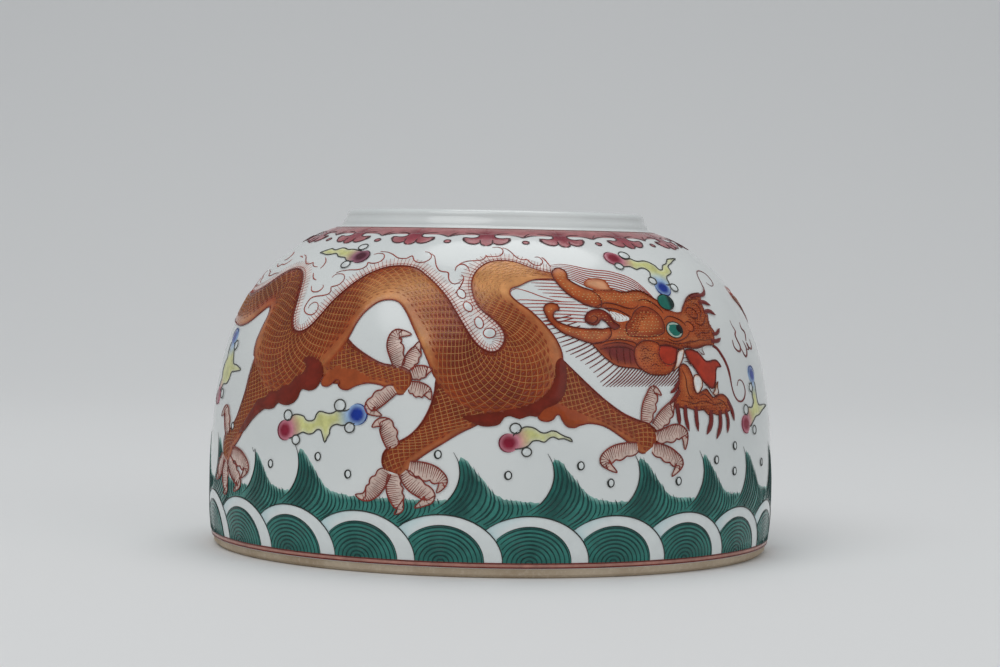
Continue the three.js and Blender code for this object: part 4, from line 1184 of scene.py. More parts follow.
# The two fore legs and the two hind legs, as (one edge, other edge) places from the body to the foot
legStations = [
    [
        (-10.8, 38.4, 6, 37), (-10.9, 35.6, 1, 32.2), (-11.7, 32.6, -2.4, 29.9), (-13.1, 29.8, -5.6, 28.2),
        (-15, 27.6, -8.8, 26.1), (-17.2, 26.2, -11.8, 24.1), (-19, 25.2, -13.9, 22.4),
        (-20.2, 23.8, -14.6, 21.2), (-20.4, 22.0, -15.4, 20.2), (-19.8, 20.6, -16.6, 19.7),
        (-18.6, 19.8, -17.6, 19.7),
    ],
    [
        (13.5, 43.2, 8.4, 34.2), (16, 40.6, 12.3, 32.4), (19, 37.6, 15.2, 30.2), (22, 34.9, 19, 30.3),
        (25.5, 32.4, 22, 29.6), (28.6, 31.0, 25.2, 27.6), (31.2, 30.2, 27.2, 26.1), (33, 28.6, 28.4, 25.0),
        (33.2, 26.8, 29.8, 24.3), (32.4, 25.4, 31.2, 24.8),
    ],
    [
        (-57.2, 41.5, -44, 36), (-57.8, 37.5, -46.5, 33), (-58.2, 34, -50.5, 30.8), (-59.4, 30.8, -54, 28.6),
        (-61, 28, -56.9, 26), (-63.4, 25.8, -59, 23.8), (-66, 24.6, -61, 22.2), (-66.8, 22.6, -62, 20.6),
        (-66.2, 20.6, -63.2, 19.4), (-65.4, 19.4, -64.2, 19.1),
    ],
    [
        (-30.8, 46.4, -36.5, 39.5), (-28.4, 44.5, -33.6, 37.2), (-25, 42.6, -30, 36.8),
        (-22, 41.3, -26, 37.2), (-19.4, 40.9, -22.4, 37.1), (-17, 40.5, -20.2, 36.4),
        (-15.6, 39.4, -18.6, 35.4), (-15.4, 37.8, -17.2, 35.2), (-15.8, 36.4, -16.4, 35.6),
    ],
]
# The dark red folds of the belly: chest and flank
bellyFolds = [
    [
        (-5.2, 31.2), (-2, 29.7), (0.2, 29.6), (1.7, 30.1), (2.5, 31.3), (3.7, 31.6), (5.3, 31.1),
        (7.2, 31.7), (8.7, 31.6), (10, 33), (12.2, 34), (13.7, 35.6), (14.4, 38.2), (14.4, 41), (13.8, 43),
        (12.5, 42.2), (12, 39.2), (10.8, 36.6), (8.4, 34.6), (5, 33.3), (0, 32.2), (-3, 31.8),
    ],
    [
        (-50.3, 30.6), (-48.4, 30.8), (-46.9, 31.2), (-45.9, 32.2), (-44, 31.9), (-42, 32.2), (-40.5, 33.4),
        (-39.7, 35.2), (-37.6, 35.1), (-36, 35.7), (-35.1, 37.2), (-34.8, 39), (-35.6, 40.8), (-37.4, 41.9),
        (-39.6, 42), (-40.6, 41), (-39.4, 39.6), (-40.4, 38.4), (-42, 37.6), (-43, 36.2), (-45, 35.8),
        (-46.4, 34.6), (-48.6, 34.4), (-50.2, 33), (-52.4, 32.6), (-54.2, 30.6), (-56.4, 28.2),
        (-58.8, 25.4), (-56.6, 26), (-53.8, 28.4),
    ],
]
# Scalloped tufts behind the elbow and the knee: their free edge, then the places that close them
tufts = [
    ([
        (7.6, 33.9), (8.6, 32.2), (8.8, 31.3), (9.5, 30.8), (10.8, 30.7), (11.8, 31.2), (12.2, 31.9),
        (12.9, 31.9), (13.2, 31.2), (13.9, 30.1), (14.6, 29.6), (15.8, 29.5), (16.8, 29.9), (18.6, 30.3),
    ], [(18.4, 32), (14, 34), (10, 35.6)]),
    ([
        (-34.2, 38.6), (-35, 37.2), (-34.6, 36.3), (-33.6, 36.1), (-32.6, 36.5), (-32, 37.1), (-31.4, 37.6),
        (-30.6, 37.2), (-30.8, 36.5), (-29.9, 35.8), (-28.5, 35.7), (-27.5, 36.2), (-26, 36.8),
        (-23.9, 37.2),
    ], [(-24, 38.8), (-28, 40.4), (-32, 40.6)]),
]
# Each toe: its middle line from the foot to the talon's point, its width and its hatched side
toes = [
    ([(-18.4, 24.9), (-19.2, 27.4), (-20.2, 29.4), (-21.4, 29.6), (-22.7, 28.7)], 2.3, 1),
    ([(-19.3, 20.4), (-20.9, 18), (-22.2, 16.2), (-23.8, 15.2), (-25.6, 15.5)], 2.3, 1),
    ([(-18, 19.9), (-17.9, 17.2), (-17.2, 14.8), (-16.6, 13.2), (-17.7, 12.2)], 2.3, -1),
    ([(-16.2, 20.2), (-14.4, 18.2), (-12.2, 16.7), (-11.2, 15.4), (-13.8, 13.6)], 2.2, -1),
    ([(-15, 21.5), (-12.4, 20.9), (-9.9, 20), (-8.6, 18.6), (-9.7, 16.6)], 2.3, 1),
    ([(-18.6, 36.2), (-20.6, 34.9), (-22.6, 33.2), (-23.2, 32), (-20.8, 31)], 2.1, 1),
    ([(-18.2, 40.6), (-19, 43), (-19.9, 45.4), (-19.4, 47.2), (-16.4, 47.2)], 2.2, 1),
    ([(-16.8, 40.4), (-15.8, 42.4), (-14.9, 44.4), (-14.6, 45.8)], 2.0, 1),
    ([(-15.6, 39.4), (-13.8, 39.8), (-12.2, 40.2), (-11.4, 40.4)], 1.9, 1),
    ([(-15.6, 37), (-13.8, 36.4), (-12.2, 35.9), (-11.4, 34.4)], 2.0, 1),
    ([(28.6, 25.6), (26, 25.2), (23.2, 24.4), (21.7, 22.9), (24.2, 20.8)], 2.1, -1),
    ([(30.4, 30.4), (31.2, 33), (32.2, 35.4), (33, 36.8), (34.6, 35.6)], 2.2, 1),
    ([(32.6, 29.4), (34.6, 31.2), (36.4, 33), (38.2, 35.2)], 2.1, 1),
    ([(32.8, 27.6), (35.4, 27.9), (38, 28.5), (39.8, 27.6), (39.8, 24.8)], 2.2, 1),
    ([(32, 25.4), (34.4, 24.6), (36.8, 23.4), (38.3, 22), (36.4, 19.7)], 2.1, 1),
    ([(-64.6, 24.6), (-65.3, 27), (-66.2, 28.8), (-67.4, 29.3), (-69.4, 28.1)], 2.2, 1),
    ([(-65.6, 20), (-67.4, 18), (-68.8, 16.2), (-70.8, 15)], 2.2, 1),
    ([(-64.6, 19.4), (-64.8, 17), (-64.6, 14.8), (-64, 13.2), (-65.4, 12.4)], 2.3, -1),
    ([(-63, 19.6), (-61, 17.8), (-59, 16.3), (-58, 15), (-60, 13.4)], 2.2, -1),
    ([(-61.6, 21.4), (-59, 20.8), (-56.4, 19.8), (-55, 18.4), (-56.8, 16.4)], 2.3, 1),
]
# Strokes of the flame fin along the back
finStrokes = [
    [
        (-32.8, 66.3), (-31.5, 66.7), (-30, 66.5), (-29.2, 65.8), (-29, 65), (-29.4, 64.2), (-30.4, 63.7),
        (-31.8, 63.6), (-32.9, 63.8), (-32.6, 63.1), (-33.2, 62.2), (-34.8, 61.7), (-37, 61.6),
        (-39.5, 61.2), (-40.6, 60.7),
    ],
    [
        (-31.4, 67.3), (-29, 67.1), (-27, 66.4), (-25.3, 65.5), (-24, 65.2), (-22.5, 65.3), (-21.4, 66.1),
        (-20.5, 65), (-19.8, 64.4), (-18.7, 64.1), (-17.6, 64.2), (-16.6, 64.8), (-16.1, 65.6),
        (-16.4, 66.6), (-17.2, 67.3), (-18.4, 67.5),
    ],
    [
        (-16.4, 66.8), (-15.4, 66.2), (-14.8, 65), (-14, 63.2), (-12.8, 61.9), (-11, 61.6), (-10.6, 61.3),
        (-10.4, 60), (-9.7, 59), (-8.8, 58.6), (-7.8, 59), (-7.1, 59.8),
    ],
    [(-7.6, 61), (-7, 60.6), (-6.9, 59.6), (-7.2, 58.5), (-7.8, 57.2), (-8.4, 56.4)],
    [(-9.2, 62), (-9.1, 63), (-8.5, 63.7), (-7.6, 63.9), (-6.6, 63.4), (-6, 62.6), (-5.7, 61.8)],
    [
        (-9, 63.2), (-8, 64.2), (-6.5, 64.8), (-4.8, 65), (-3.5, 65.1), (-2.5, 65.6), (-2, 66.7),
        (-1.7, 66.3), (-0.5, 66.3), (0.8, 66.4), (1.8, 66.9), (2.3, 67.8), (2.2, 68.8), (1.6, 69.4),
        (0.7, 69.6), (-0.5, 69.4),
    ],
    [
        (2.2, 69.4), (3.4, 68.9), (4.3, 68), (5.2, 66.8), (6, 66), (7, 65.5), (8.3, 65.6), (9, 64.7),
        (10, 64), (11, 63.9), (11.8, 64.4), (12.2, 65.1), (12, 65.9), (11.3, 66.5), (10.4, 66.4),
    ],
    [(12.2, 66.4), (12.8, 65.8), (13.3, 64.8), (13.9, 63.6)],
    [
        (-43.7, 52), (-43.6, 52.8), (-42.7, 53.4), (-41.6, 53.3), (-40.9, 52.5), (-40.8, 51.6),
        (-41.4, 50.8), (-42.6, 50.6), (-44, 51), (-44.9, 51.8), (-44.9, 53), (-44.4, 54.2), (-43.4, 54.7),
        (-42, 54.9), (-40.6, 55.1), (-39.4, 55.5), (-39.2, 56.3), (-39.7, 57.1), (-38.6, 57.4),
        (-37.5, 57.9), (-37, 58.9), (-37.3, 59.8), (-38.2, 60.4), (-39.4, 60.5), (-40.5, 60.3),
        (-41.1, 59.5),
    ],
    [(-46.2, 57.2), (-45.5, 56.2), (-44.4, 55.8), (-43.2, 55.9), (-42.4, 56.4), (-42.1, 57), (-42.6, 57.6)],
    [(-48.6, 60.5), (-48, 59.8), (-47.2, 59.1), (-45.8, 58.7)],
    [(-62.5, 65.2), (-61.3, 65.2), (-60, 64.8)],
    [
        (-60.8, 65.7), (-59, 65.3), (-57.5, 64.5), (-56, 63.6), (-54.7, 63), (-53.2, 63), (-52.2, 63.4),
        (-51.5, 62.8), (-50.3, 62.3), (-48.8, 62.2),
    ],
    [(-49, 65), (-48, 64.4), (-47.2, 63.6), (-47, 62.6), (-47.3, 61.8)],
    [(-72, 66.6), (-70.6, 66.2), (-69.6, 65.2), (-70, 64.2), (-71.4, 63.8)],
    [(-74.6, 62.8), (-73, 62.2), (-71.4, 61.9), (-69.6, 62.6), (-67.6, 62.6), (-66, 63.4), (-65.6, 64.2)],
    [(-78.6, 61), (-76.6, 60.6), (-74.6, 60.4), (-72.8, 59.4), (-70.6, 59.4), (-68.4, 60), (-66, 60.2)],
    [(-84.6, 60.6), (-83.4, 59.6), (-81.6, 59), (-79.4, 58.8), (-78, 57.8), (-75.8, 57.4)],
    [(-91, 60.2), (-90, 59), (-88.2, 58.4), (-86, 58.2), (-84.6, 57.2)],
]
# Small rings in the fin: place, width, height and tilt
finLoops = [
    ((-7, 56.3), 1.5, 2.4, 35),
    ((-5.3, 53.4), 1.5, 2.4, 35),
    ((-2.8, 50), 1.6, 2.5, 20),
    ((-0.6, 47.9), 2.4, 2.0, 0),
]

bodyTones = {
    "dark": (0.15, 0.015, 0.004), "mid": (0.34, 0.058, 0.012), "light": (0.70, 0.32, 0.12),
    "fold": (0.19, 0.018, 0.007), "gold": (0.64, 0.34, 0.11), "fin": (0.76, 0.62, 0.56),
    "claw": (0.66, 0.50, 0.43),
}
# Where the body's red is lighter or, below zero, darker: place, reach in degrees and millimetres,
# and by how much
bodySpots = [
    (2, 61.5, 9, 5, 0.85), (-18, 58, 9, 4.5, 0.48), (-14, 46, 3, 6, 0.3), (-6, 44, 5, 5, -0.25),
    (8, 45, 5, 5, 0.12), (-35, 53, 5, 6, -0.1), (-50, 52, 5, 7, -0.15), (-62, 56, 8, 3, -0.3),
    (-70, 49, 8, 2, 0.2), (-28, 56, 4, 4, 0.25), (-2, 56, 3, 4, 0.25), (-55, 46, 3, 5, 0.12),
    (2, 35, 10, 4.5, -0.3), (-46, 37, 7, 4, -0.12), (-94, 52, 12, 4, -0.35),
]


# The body's shading from the back (v = 0) to the belly (v = 1)
bodyShade = {"middle": 0.40, "belly": 0.6, "back": 0.4, "backEdge": 0.25, "bellyEdge": 0.3}


def spotLight(x, y, spot):
    cx, cy, rx, ry, amount = spot
    return amount * math.exp(-((x - cx) / rx) ** 2 - ((y - cy) / ry) ** 2)


def bodyLightness(x, y, v=0.5):
    f = bodyShade
    lightness = f["middle"]
    for spot in bodySpots:
        lightness += spotLight(x, y, spot)
    lightness += f["belly"] * max(0.0, v - 0.5) - f["back"] * max(0.0, 0.25 - v)
    lightness -= f["backEdge"] * max(0, 1 - v / 0.06) + f["bellyEdge"] * max(0, (v - 0.96) / 0.04)
    return max(0.0, min(1.0, lightness))


def bodyTone(x, y, v=0.5):
    lightness = bodyLightness(x, y, v)
    if lightness < 0.5:
        return blendColour(bodyTones["dark"], bodyTones["mid"], lightness * 2)
    return blendColour(bodyTones["mid"], bodyTones["light"], lightness * 2 - 1)


# A strip with its stations the same number of millimetres apart along its middle
def evenStrip(strip, step):
    def gap(p, q):
        dx, dy = (p[0] + p[2] - q[0] - q[2]) / 2, (p[1] + p[3] - q[1] - q[3]) / 2
        return math.hypot(dx / degreesPer((p[1] + p[3]) / 2), dy)

    even, along = [strip[0]], 0.0
    for p, q in zip(strip, strip[1:]):
        length = gap(p, q)
        while length > 1e-6 and along + length >= step * len(even):
            t = (step * len(even) - along) / length
            even.append(tuple(a + (b - a) * t for a, b in zip(p, q)))
        along += length
    return even


# A line with its points the same number of millimetres apart
def evenLine(line, step):
    return [p[:2] for p in evenStrip([(*p, *p) for p in line], step)]


# A line moved sideways over the wall, each point by its own millimetres, to the left of its direction
def besideOnWall(line, distances):
    moved = []
    for i, (p, away) in enumerate(zip(line, distances)):
        a, b = line[max(i - 1, 0)], line[min(i + 1, len(line) - 1)]
        per = degreesPer(p[1])
        dx, dy = (b[0] - a[0]) / per, b[1] - a[1]
        length = math.hypot(dx, dy) or 1
        moved.append((p[0] - dy / length * away * per, p[1] + dx / length * away))
    return moved


# Where the scales reach right to the belly's edge: place and reach. Elsewhere a smooth band is bare.
scaledBelly = [(1, 37, 14, 9), (-46, 38, 12, 9)]
scaleForm = {
    "stationStep": 0.5, "lineStep": 0.8, "lineWidth": 0.15, "goldShare": 0.5, "backEdge": 0.03,
    "bellyEdge": 0.97, "bareFrom": 0.8,
}


# Crossing scale lines over an even strip, with a darker touch in each scale. Places on the strip are
# (along, across) in millimetres, across from its middle line.
def drawScales(gold, marks, strip, lift, spacing, lean, markWidth):
    f, last = scaleForm, len(strip) - 1
    widths = [math.hypot((p[2] - p[0]) / degreesPer((p[1] + p[3]) / 2), p[3] - p[1]) for p in strip]
    length, widest = last * f["stationStep"], max(widths)

    def at(along, across):
        u = along / f["stationStep"]
        if not 0 <= u <= last:
            return None
        i = min(int(u), last - 1)
        v = 0.5 + across / (widths[i] + (widths[i + 1] - widths[i]) * (u - i))
        p = [a + (b - a) * (u - i) for a, b in zip(strip[i], strip[i + 1])]
        x, y = p[0] + (p[2] - p[0]) * v, p[1] + (p[3] - p[1]) * v
        full = any(((x - cx) / rx) ** 2 + ((y - cy) / ry) ** 2 < 1 for cx, cy, rx, ry in scaledBelly)
        return (x, y) if f["backEdge"] < v < f["bellyEdge" if full else "bareFrom"] else None

    def goldTint(x, y):
        return blendColour(bodyTone(x, y), bodyTones["gold"], f["goldShare"])

    reach = math.ceil(widest * lean / 2 / spacing)
    for k in range(-reach, int(length / spacing) + reach):
        for way in (1, -1):
            run, steps = [], int(widest / f["lineStep"])
            for j in range(steps + 2):
                across = widest * (j / steps - 0.5)
                spot = at(k * spacing + way * lean * across, across) if j <= steps else None
                if spot:
                    run.append(spot)
                    continue
                if len(run) > 1:
                    gold.draw(run, f["lineWidth"], 0.8, 0.3, lift, smooth=False, tint=goldTint)
                run = []
        for m in range(-reach, int(length / spacing) + reach):
            along, across = (k + m + 1) * spacing / 2, (m - k) * spacing / (2 * lean)
            touch = [at(along + spacing * share, across) for share in (-0.3, -0.05, 0.3)]
            if all(touch):
                pale = bodyLightness(*touch[1])
                depth = (0.85 - 0.7 * (across / widest + 0.5)) * (1 - 0.35 * pale)
                tint = blendColour(bodyTone(*touch[1]), bodyTones["dark"], depth)
                width = markWidth * (1.15 - 0.75 * pale)
                marks.draw(touch, width, 0.4, 0.15, lift - 0.01, smooth=False, tint=tint)


toeForm = {
    "step": 0.38, "talon": 0.72, "talonShare": 0.28, "scallop": 0.34, "plain": 0.08, "root": 0.84,
    "edgeWidth": 0.3, "hatchWidth": 0.24, "longHatch": 0.82, "shortHatch": 0.6, "lift": 0.23,
}


# A toe: a pale tapering finger, smooth and hatched on one side, scalloped on the other, with a talon
def drawToe(pale, red, line, width, side):
    f = toeForm
    middle = smoothLine(line, f["step"])
    count = len(middle) - 1
    edges = {}
    for way in (1, -1):
        halves = []
        for i in range(count + 1):
            t = i / count
            swell = 0.8 + 0.45 * math.sin(min(1, t / 0.75) * math.pi)
            thin = 1 if t < f["talon"] else ((1 - t) / f["talonShare"]) ** 0.8
            scallop = f["scallop"] * abs(math.sin(t / f["talon"] * 3 * math.pi))
            lobe = 1 + (scallop if way != side and t < f["talon"] else f["plain"])
            halves.append(width / 2 * (swell * thin) * lobe * way)
        edges[way] = besideOnWall(middle, halves)
    pale.addShape(edges[1] + edges[-1][::-1], bodyTones["claw"], 0.7, 0.11)
    for way in (1, -1):
        red.draw(edges[way], f["edgeWidth"], 0.8, 0.8, f["lift"], smooth=False)
    for i in range(1, int(count * f["root"])):
        a, b = edges[side][i], edges[-side][min(count, i + 1)]
        hatch = [a, partWay(a, b, f["longHatch"] if i % 2 else f["shortHatch"])]
        red.draw(hatch, f["hatchWidth"], 0.9, 0.3, f["lift"], smooth=False)
    knuckle = [
        edges[-side][int(count * 0.66)], middle[int(count * 0.76)], edges[side][int(count * f["root"])],
    ]
    red.draw(knuckle, 0.26, 0.9, 0.5, 0.24)


# One edge of a strip: side 0 is its first edge, side 2 its other one
def edgeOf(strip, side):
    return [(p[side], p[side + 1]) for p in strip]


def makeDragonBody():
    red = Brush("dragonRedLines", clawLine)
    gold = Brush("dragonScaleLines", tintedLine, 0.4)
    marks = Brush("dragonScaleTouches", tintedLine, 0.1)
    flesh = Enamel("dragonBody", fillMaterial, 0.14, 0.1)
    pale = Enamel("dragonClaws", fillMaterial, 0.12, 0.06)
    body = smoothLine(bodyStations, 0.8)

    for stations in legStations:
        leg = evenStrip(smoothLine(stations, 0.6), 0.5)
        flesh.addStrip(edgeOf(leg, 0), edgeOf(leg, 2), 8, bodyTone, 0.0)
        drawScales(gold, marks, leg[2:], 0.17, 1.35, 1.0, 0.56)
        for a in (0, 2):
            red.draw(edgeOf(leg, a)[2:], 0.24, 0.3, 0.9, 0.12, smooth=False)
    flesh.addStrip(edgeOf(body, 0), edgeOf(body, 2), 12, bodyTone, 0.08)
    drawScales(gold, marks, evenStrip(body, 0.5), 0.25, 1.62, 1.0, 0.66)
    red.draw(edgeOf(body, 0), 0.22, 0.5, 0.9, 0.2, smooth=False)
    # the belly's edge shows only where no leg and no fold covers it
    belly, run = edgeOf(body, 2), []
    for x, y in belly:
        covered = -57 < x < -30.5 or -10.4 < x < 13.8 and y < 43
        if not covered:
            run.append((x, y))
        if run and (covered or (x, y) == belly[-1]):
            red.draw(run, 0.24, 0.8, 0.8, 0.2, smooth=False)
            run = []
    for edge, rest in tufts:
        free = smoothLine(edge, 0.4)
        flesh.addShape(free + rest, lambda x, y, away: bodyTone(x, y, 0.72), 0.8, 0.09)
        red.draw(free, 0.22, 0.4, 0.4, 0.24, smooth=False)

    def foldTint(x, y, away):
        return blendColour(bodyTones["dark"], bodyTones["fold"], away)

    for fold in bellyFolds:
        flesh.addShape(smoothLine(fold, 0.6, closed=True), foldTint, 0.9, 0.22)
    for line, width, side in toes:
        drawToe(pale, red, line, width, side)
    flesh.lay("iron_red", "dragon_front", "dragon_back", **bothSides)
    pale.lay("iron_red", **bothSides)
    gold.lay("scale_gold", **bothSides)
    marks.lay("iron_red", **bothSides)
    red.lay("iron_red", **bothSides)
    print("dragon bodies laid")


# The flame fin along the back: a second line, close hatching on a pale wash, and flame curls
def makeDragonFin():
    red = Brush("finLines", redMaterial, 0.4)
    wash = Enamel("finWash", fillMaterial, 0.05)
    back = edgeOf(evenStrip(smoothLine(bodyStations, 0.8), 0.5), 0)

    # how far the fin stands from the back: less where the body turns tightly
    def reach(p):
        tight = math.exp(-((p[0] + 44) / 4) ** 2) + math.exp(-((p[0] + 0.3) / 3.6) ** 2) * (p[1] < 50)
        return 2.3 - 0.9 * min(1, tight)

    def finTint(x, y, v):
        return blendColour(enamelColours["white"], bodyTones["fin"], 0.2 + v * 0.8)

    wash.addStrip(besideOnWall(back, [reach(p) for p in back]), back, 2, finTint)
    red.draw(besideOnWall(back, [0.62] * len(back)), 0.11, 0.5, 0.8, 0.06, smooth=False)
    comb = evenLine(back, 0.72)
    for p, q in zip(comb, besideOnWall(comb, [reach(p) + 0.1 for p in comb])):
        red.draw([p, (q[0] - 0.35, q[1])], 0.22, 0.9, 0.25, 0.05, smooth=False)
    for stroke in finStrokes:
        red.draw(stroke, 0.26, 0.5, 0.5, 0.06, 0.5)
    for centre, width, height, tilt in finLoops:
        loop = oval(centre, width, height, tilt, 16)
        wash.addShape(loop, enamelColours["white"], 0.7, 0.08)
        red.draw(loop, 0.22, 1, 1, 0.13, closed=True)
    wash.lay("iron_red", **bothSides)
    red.lay("iron_red", **bothSides)
    print("dragon fins laid")


# The dragon's head in profile, looking to the right
headTones = {
    "orange": (0.42, 0.078, 0.017), "deep": (0.24, 0.030, 0.008), "dark": (0.12, 0.012, 0.005),
    "pale": (0.70, 0.34, 0.18), "red": (0.42, 0.035, 0.012), "white": (0.76, 0.77, 0.74),
    "gold": (0.70, 0.43, 0.17), "wine": (0.17, 0.014, 0.010), "amber": (0.52, 0.17, 0.045),
    "glow": (0.62, 0.21, 0.065),
}
# Soft lights on the head: place, reach in degrees and millimetres, and by how much
headGlow = [
    (15.6, 61.8, 2.4, 1.5, 0.95), (17.6, 58.8, 2.2, 1.3, 0.7), (21, 56.6, 2.6, 0.9, 0.5),
    (26, 55.9, 3, 0.9, 0.35), (33, 55.9, 4, 1.2, 0.4), (12, 53.3, 1.6, 1.2, 0.5),
    (15.6, 48.9, 2.6, 0.8, 0.45), (21, 47.6, 4, 0.8, 0.45), (27, 47.6, 3, 0.7, 0.4),
    (33.6, 49.8, 3.2, 1.7, 0.45), (45.6, 51.4, 1.6, 1.2, 0.4), (49.6, 55.2, 3, 1.0, 0.5),
    (51.6, 50.4, 1.6, 1.6, 0.35), (46.4, 46.6, 4, 0.7, 0.4), (32.4, 43.6, 2.4, 1.8, 0.45),
    (41.5, 37.4, 1.2, 2.6, 0.5), (44, 33.8, 4, 0.7, 0.35), (51.6, 33.6, 2, 0.9, 0.45),
    (21.6, 51.4, 1.2, 0.8, 0.3),
]
# Each part: its colours inside and at the edge, how far the edge colour reaches, its lift and outline
headParts = {
    "ear": ("pale", "orange", 0.9, 0.06, [
        (21.1, 59.4), (22, 60.2), (23.4, 60.5), (25, 60.5), (26.4, 60.1), (27, 59.2), (27.2, 58.2),
        (28.4, 57.4), (26, 57.2), (24, 57.6), (22.4, 58.2), (21.3, 58.6),
    ]),
    "skull": ("orange", "deep", 0.9, 0.1, [
        (19.4, 46.8), (21, 46), (23, 46.2), (26, 46.6), (28.5, 46.4), (30, 45.8), (32, 46.3), (34, 46.3),
        (36, 45.6), (38, 45.7), (40, 45.1), (41.5, 44.8), (43, 45.1), (45, 44.9), (46.5, 44.9), (48, 45.2),
        (50, 45.5), (52.3, 45.5), (53.2, 46.3), (53.6, 47.3), (54.3, 48.3), (53.6, 49.5), (53.5, 50.6),
        (54.2, 52), (53.6, 53.2), (53.8, 54), (53.6, 54.9), (54.6, 55.8), (55, 57), (53, 57), (51.5, 56.8),
        (50, 56.4), (48.5, 55.7), (47, 54.6), (46, 53.8), (45, 52.8), (43.4, 52.6), (41.6, 53), (39.9, 53.6),
        (39, 55.2), (38, 55.8), (36.5, 56.8), (35, 57.5), (33, 57.6), (31.5, 57.3), (30, 57.2), (28, 57.7),
        (25, 57.7), (22, 57.6), (19.6, 57.4), (19.4, 54.6), (22, 53.7), (24, 53.6), (25.4, 52.8),
        (25.2, 51.4), (26, 50), (24, 49.1), (20, 49),
    ]),
    "cheek": ("wine", "orange", 1.4, 0.16, [
        (20.4, 45.9), (23, 46.4), (26, 46.8), (28.5, 46.5), (30, 46), (30.8, 44), (30.6, 41), (28.8, 41.1),
        (27, 41.2), (25, 41.6), (23.5, 42.5), (22, 43.8), (21, 45),
    ]),
    "gum": ("red", "wine", 0.6, 0.17, [
        (34.6, 45.4), (36, 45.6), (38, 45.5), (40.3, 45), (40, 43.6), (39.4, 42.2), (38.4, 41), (36.6, 40.6),
        (35, 41.4), (34.6, 43.4),
    ]),
    "jowl": ("orange", "deep", 0.8, 0.2, [
        (30, 45.5), (31.5, 46.4), (33, 46.6), (35, 46.3), (35.9, 45.5), (35.3, 44.2), (35.5, 42.8),
        (36.6, 41.8), (38.4, 41.8), (39.4, 42.6), (39, 41.4), (38, 40.4), (36.5, 39.7), (35, 39.6),
        (33, 39.7), (31.5, 40.2), (30.2, 41), (29.5, 42), (29.2, 43.5), (29.5, 44.9),
    ]),
    "tongue": ("red", "wine", 0.5, 0.1, [
        (42.6, 44.4), (44, 44.7), (45.5, 44.4), (46.5, 44), (47.5, 43), (48.3, 42.3), (49.5, 42.2),
        (51, 42.4), (52.3, 42.2), (53.3, 41), (52, 40.9), (51.2, 40.2), (50.8, 39), (50.2, 37.6),
        (49.3, 36.7), (48.2, 36.9), (47.2, 37.6), (46, 38.6), (45.2, 39.8), (44.2, 41.2), (43, 42.6),
    ]),
    "jaw": ("orange", "deep", 0.9, 0.14, [
        (39.9, 40.4), (40.2, 41.3), (41.2, 41.8), (42.3, 41.4), (43, 40.3), (43.4, 38.9), (43.3, 37),
        (43.8, 35.9), (44.8, 35.9), (46, 36.3), (47, 36.6), (47.8, 35.8), (48.8, 34.9), (50, 35), (51, 35.4),
        (52.5, 35.3), (53.8, 34.5), (54.6, 33.5), (54.8, 32.4), (53.6, 31.9), (52.6, 31.6), (51.4, 31.5),
        (49.8, 31.3), (48.6, 31.6), (47, 31.4), (45.6, 32.4), (44, 32.4), (42.6, 32.6), (41, 33), (39.9, 33),
        (38.4, 33.2), (37.4, 33.2), (37.8, 34.6), (38.9, 36), (39.2, 37.6), (39.6, 39),
    ]),
    "upperHorn": ("orange", "deep", 0.7, 0.15, [
        (13.7, 60.9), (13.9, 62.2), (15.4, 63.2), (17, 62.5), (17.4, 61.4), (17.3, 60.3), (18.6, 59.2),
        (20.4, 58.2), (22.5, 57.4), (24, 55.6), (23.5, 53.7), (22, 53.7), (20, 54.3), (18.6, 55.1),
        (17, 56.2), (15.6, 57.6), (14.5, 59.2),
    ]),
    "lowerHorn": ("orange", "deep", 0.7, 0.15, [
        (10.7, 52.7), (10.8, 53.6), (11.5, 54.3), (12.7, 54.5), (13.8, 54), (14, 53), (13, 52.6),
        (12.6, 51.5), (13.4, 50.5), (15, 49.8), (17, 49.3), (20, 49), (23, 49), (24.6, 49.2), (24.6, 47.6),
        (22.6, 46.2), (21, 45.9), (19, 46.3), (17, 47), (14.5, 48), (12.8, 49.3), (11.5, 50.8),
    ]),
    "curl": ("deep", "wine", 0.6, 0.19, [
        (19.3, 50.8), (19.7, 51.9), (20.8, 52.8), (22.4, 53.2), (24, 52.9), (25.2, 51.9), (25.8, 50.6),
        (27, 49.6), (25.6, 48.9), (24.6, 49.6), (23.9, 50.6), (22.9, 50.9), (22.4, 50.3), (21.6, 49.8),
        (20.4, 49.9),
    ]),
    "lens": ("white", "white", 1.0, 0.17, [
        (25.4, 52.7), (27, 52.5), (29, 51.9), (30.2, 51.2), (28.5, 50.6), (26.8, 50.5), (25.9, 51.2),
    ]),
    "brow": ("orange", "deep", 1.6, 0.15, [
        (28.6, 49.8), (30.3, 51.3), (31.2, 52.5), (32.5, 53.4), (34, 53.9), (35.5, 53.7), (37, 52.9),
        (38, 51.8), (38.4, 50.8), (38.4, 49.6), (37.9, 48.4), (36.6, 47.8), (34, 47.4), (31, 47.4),
        (28.6, 47.8),
    ]),
    "tusk": ("white", "pale", 0.5, 0.26, [
        (42.2, 44.7), (40.6, 44.4), (39.8, 43.3), (39.3, 42), (38, 40.4), (39.5, 41), (40.6, 41.9),
        (41.5, 43.1),
    ]),
    "backTooth": ("white", "pale", 0.4, 0.16, [
        (43.4, 38.4), (44, 39.4), (45, 39.5), (45.9, 38.7), (46, 37.4), (45.1, 36.3), (44.1, 35.7),
        (43.5, 36.8),
    ]),
    "frontTooth": ("white", "pale", 0.4, 0.2, [
        (48.9, 35.6), (50, 35.2), (50.8, 35.8), (50.7, 36.9), (51.1, 38), (50.2, 37.2), (49.6, 36.2),
    ]),
}
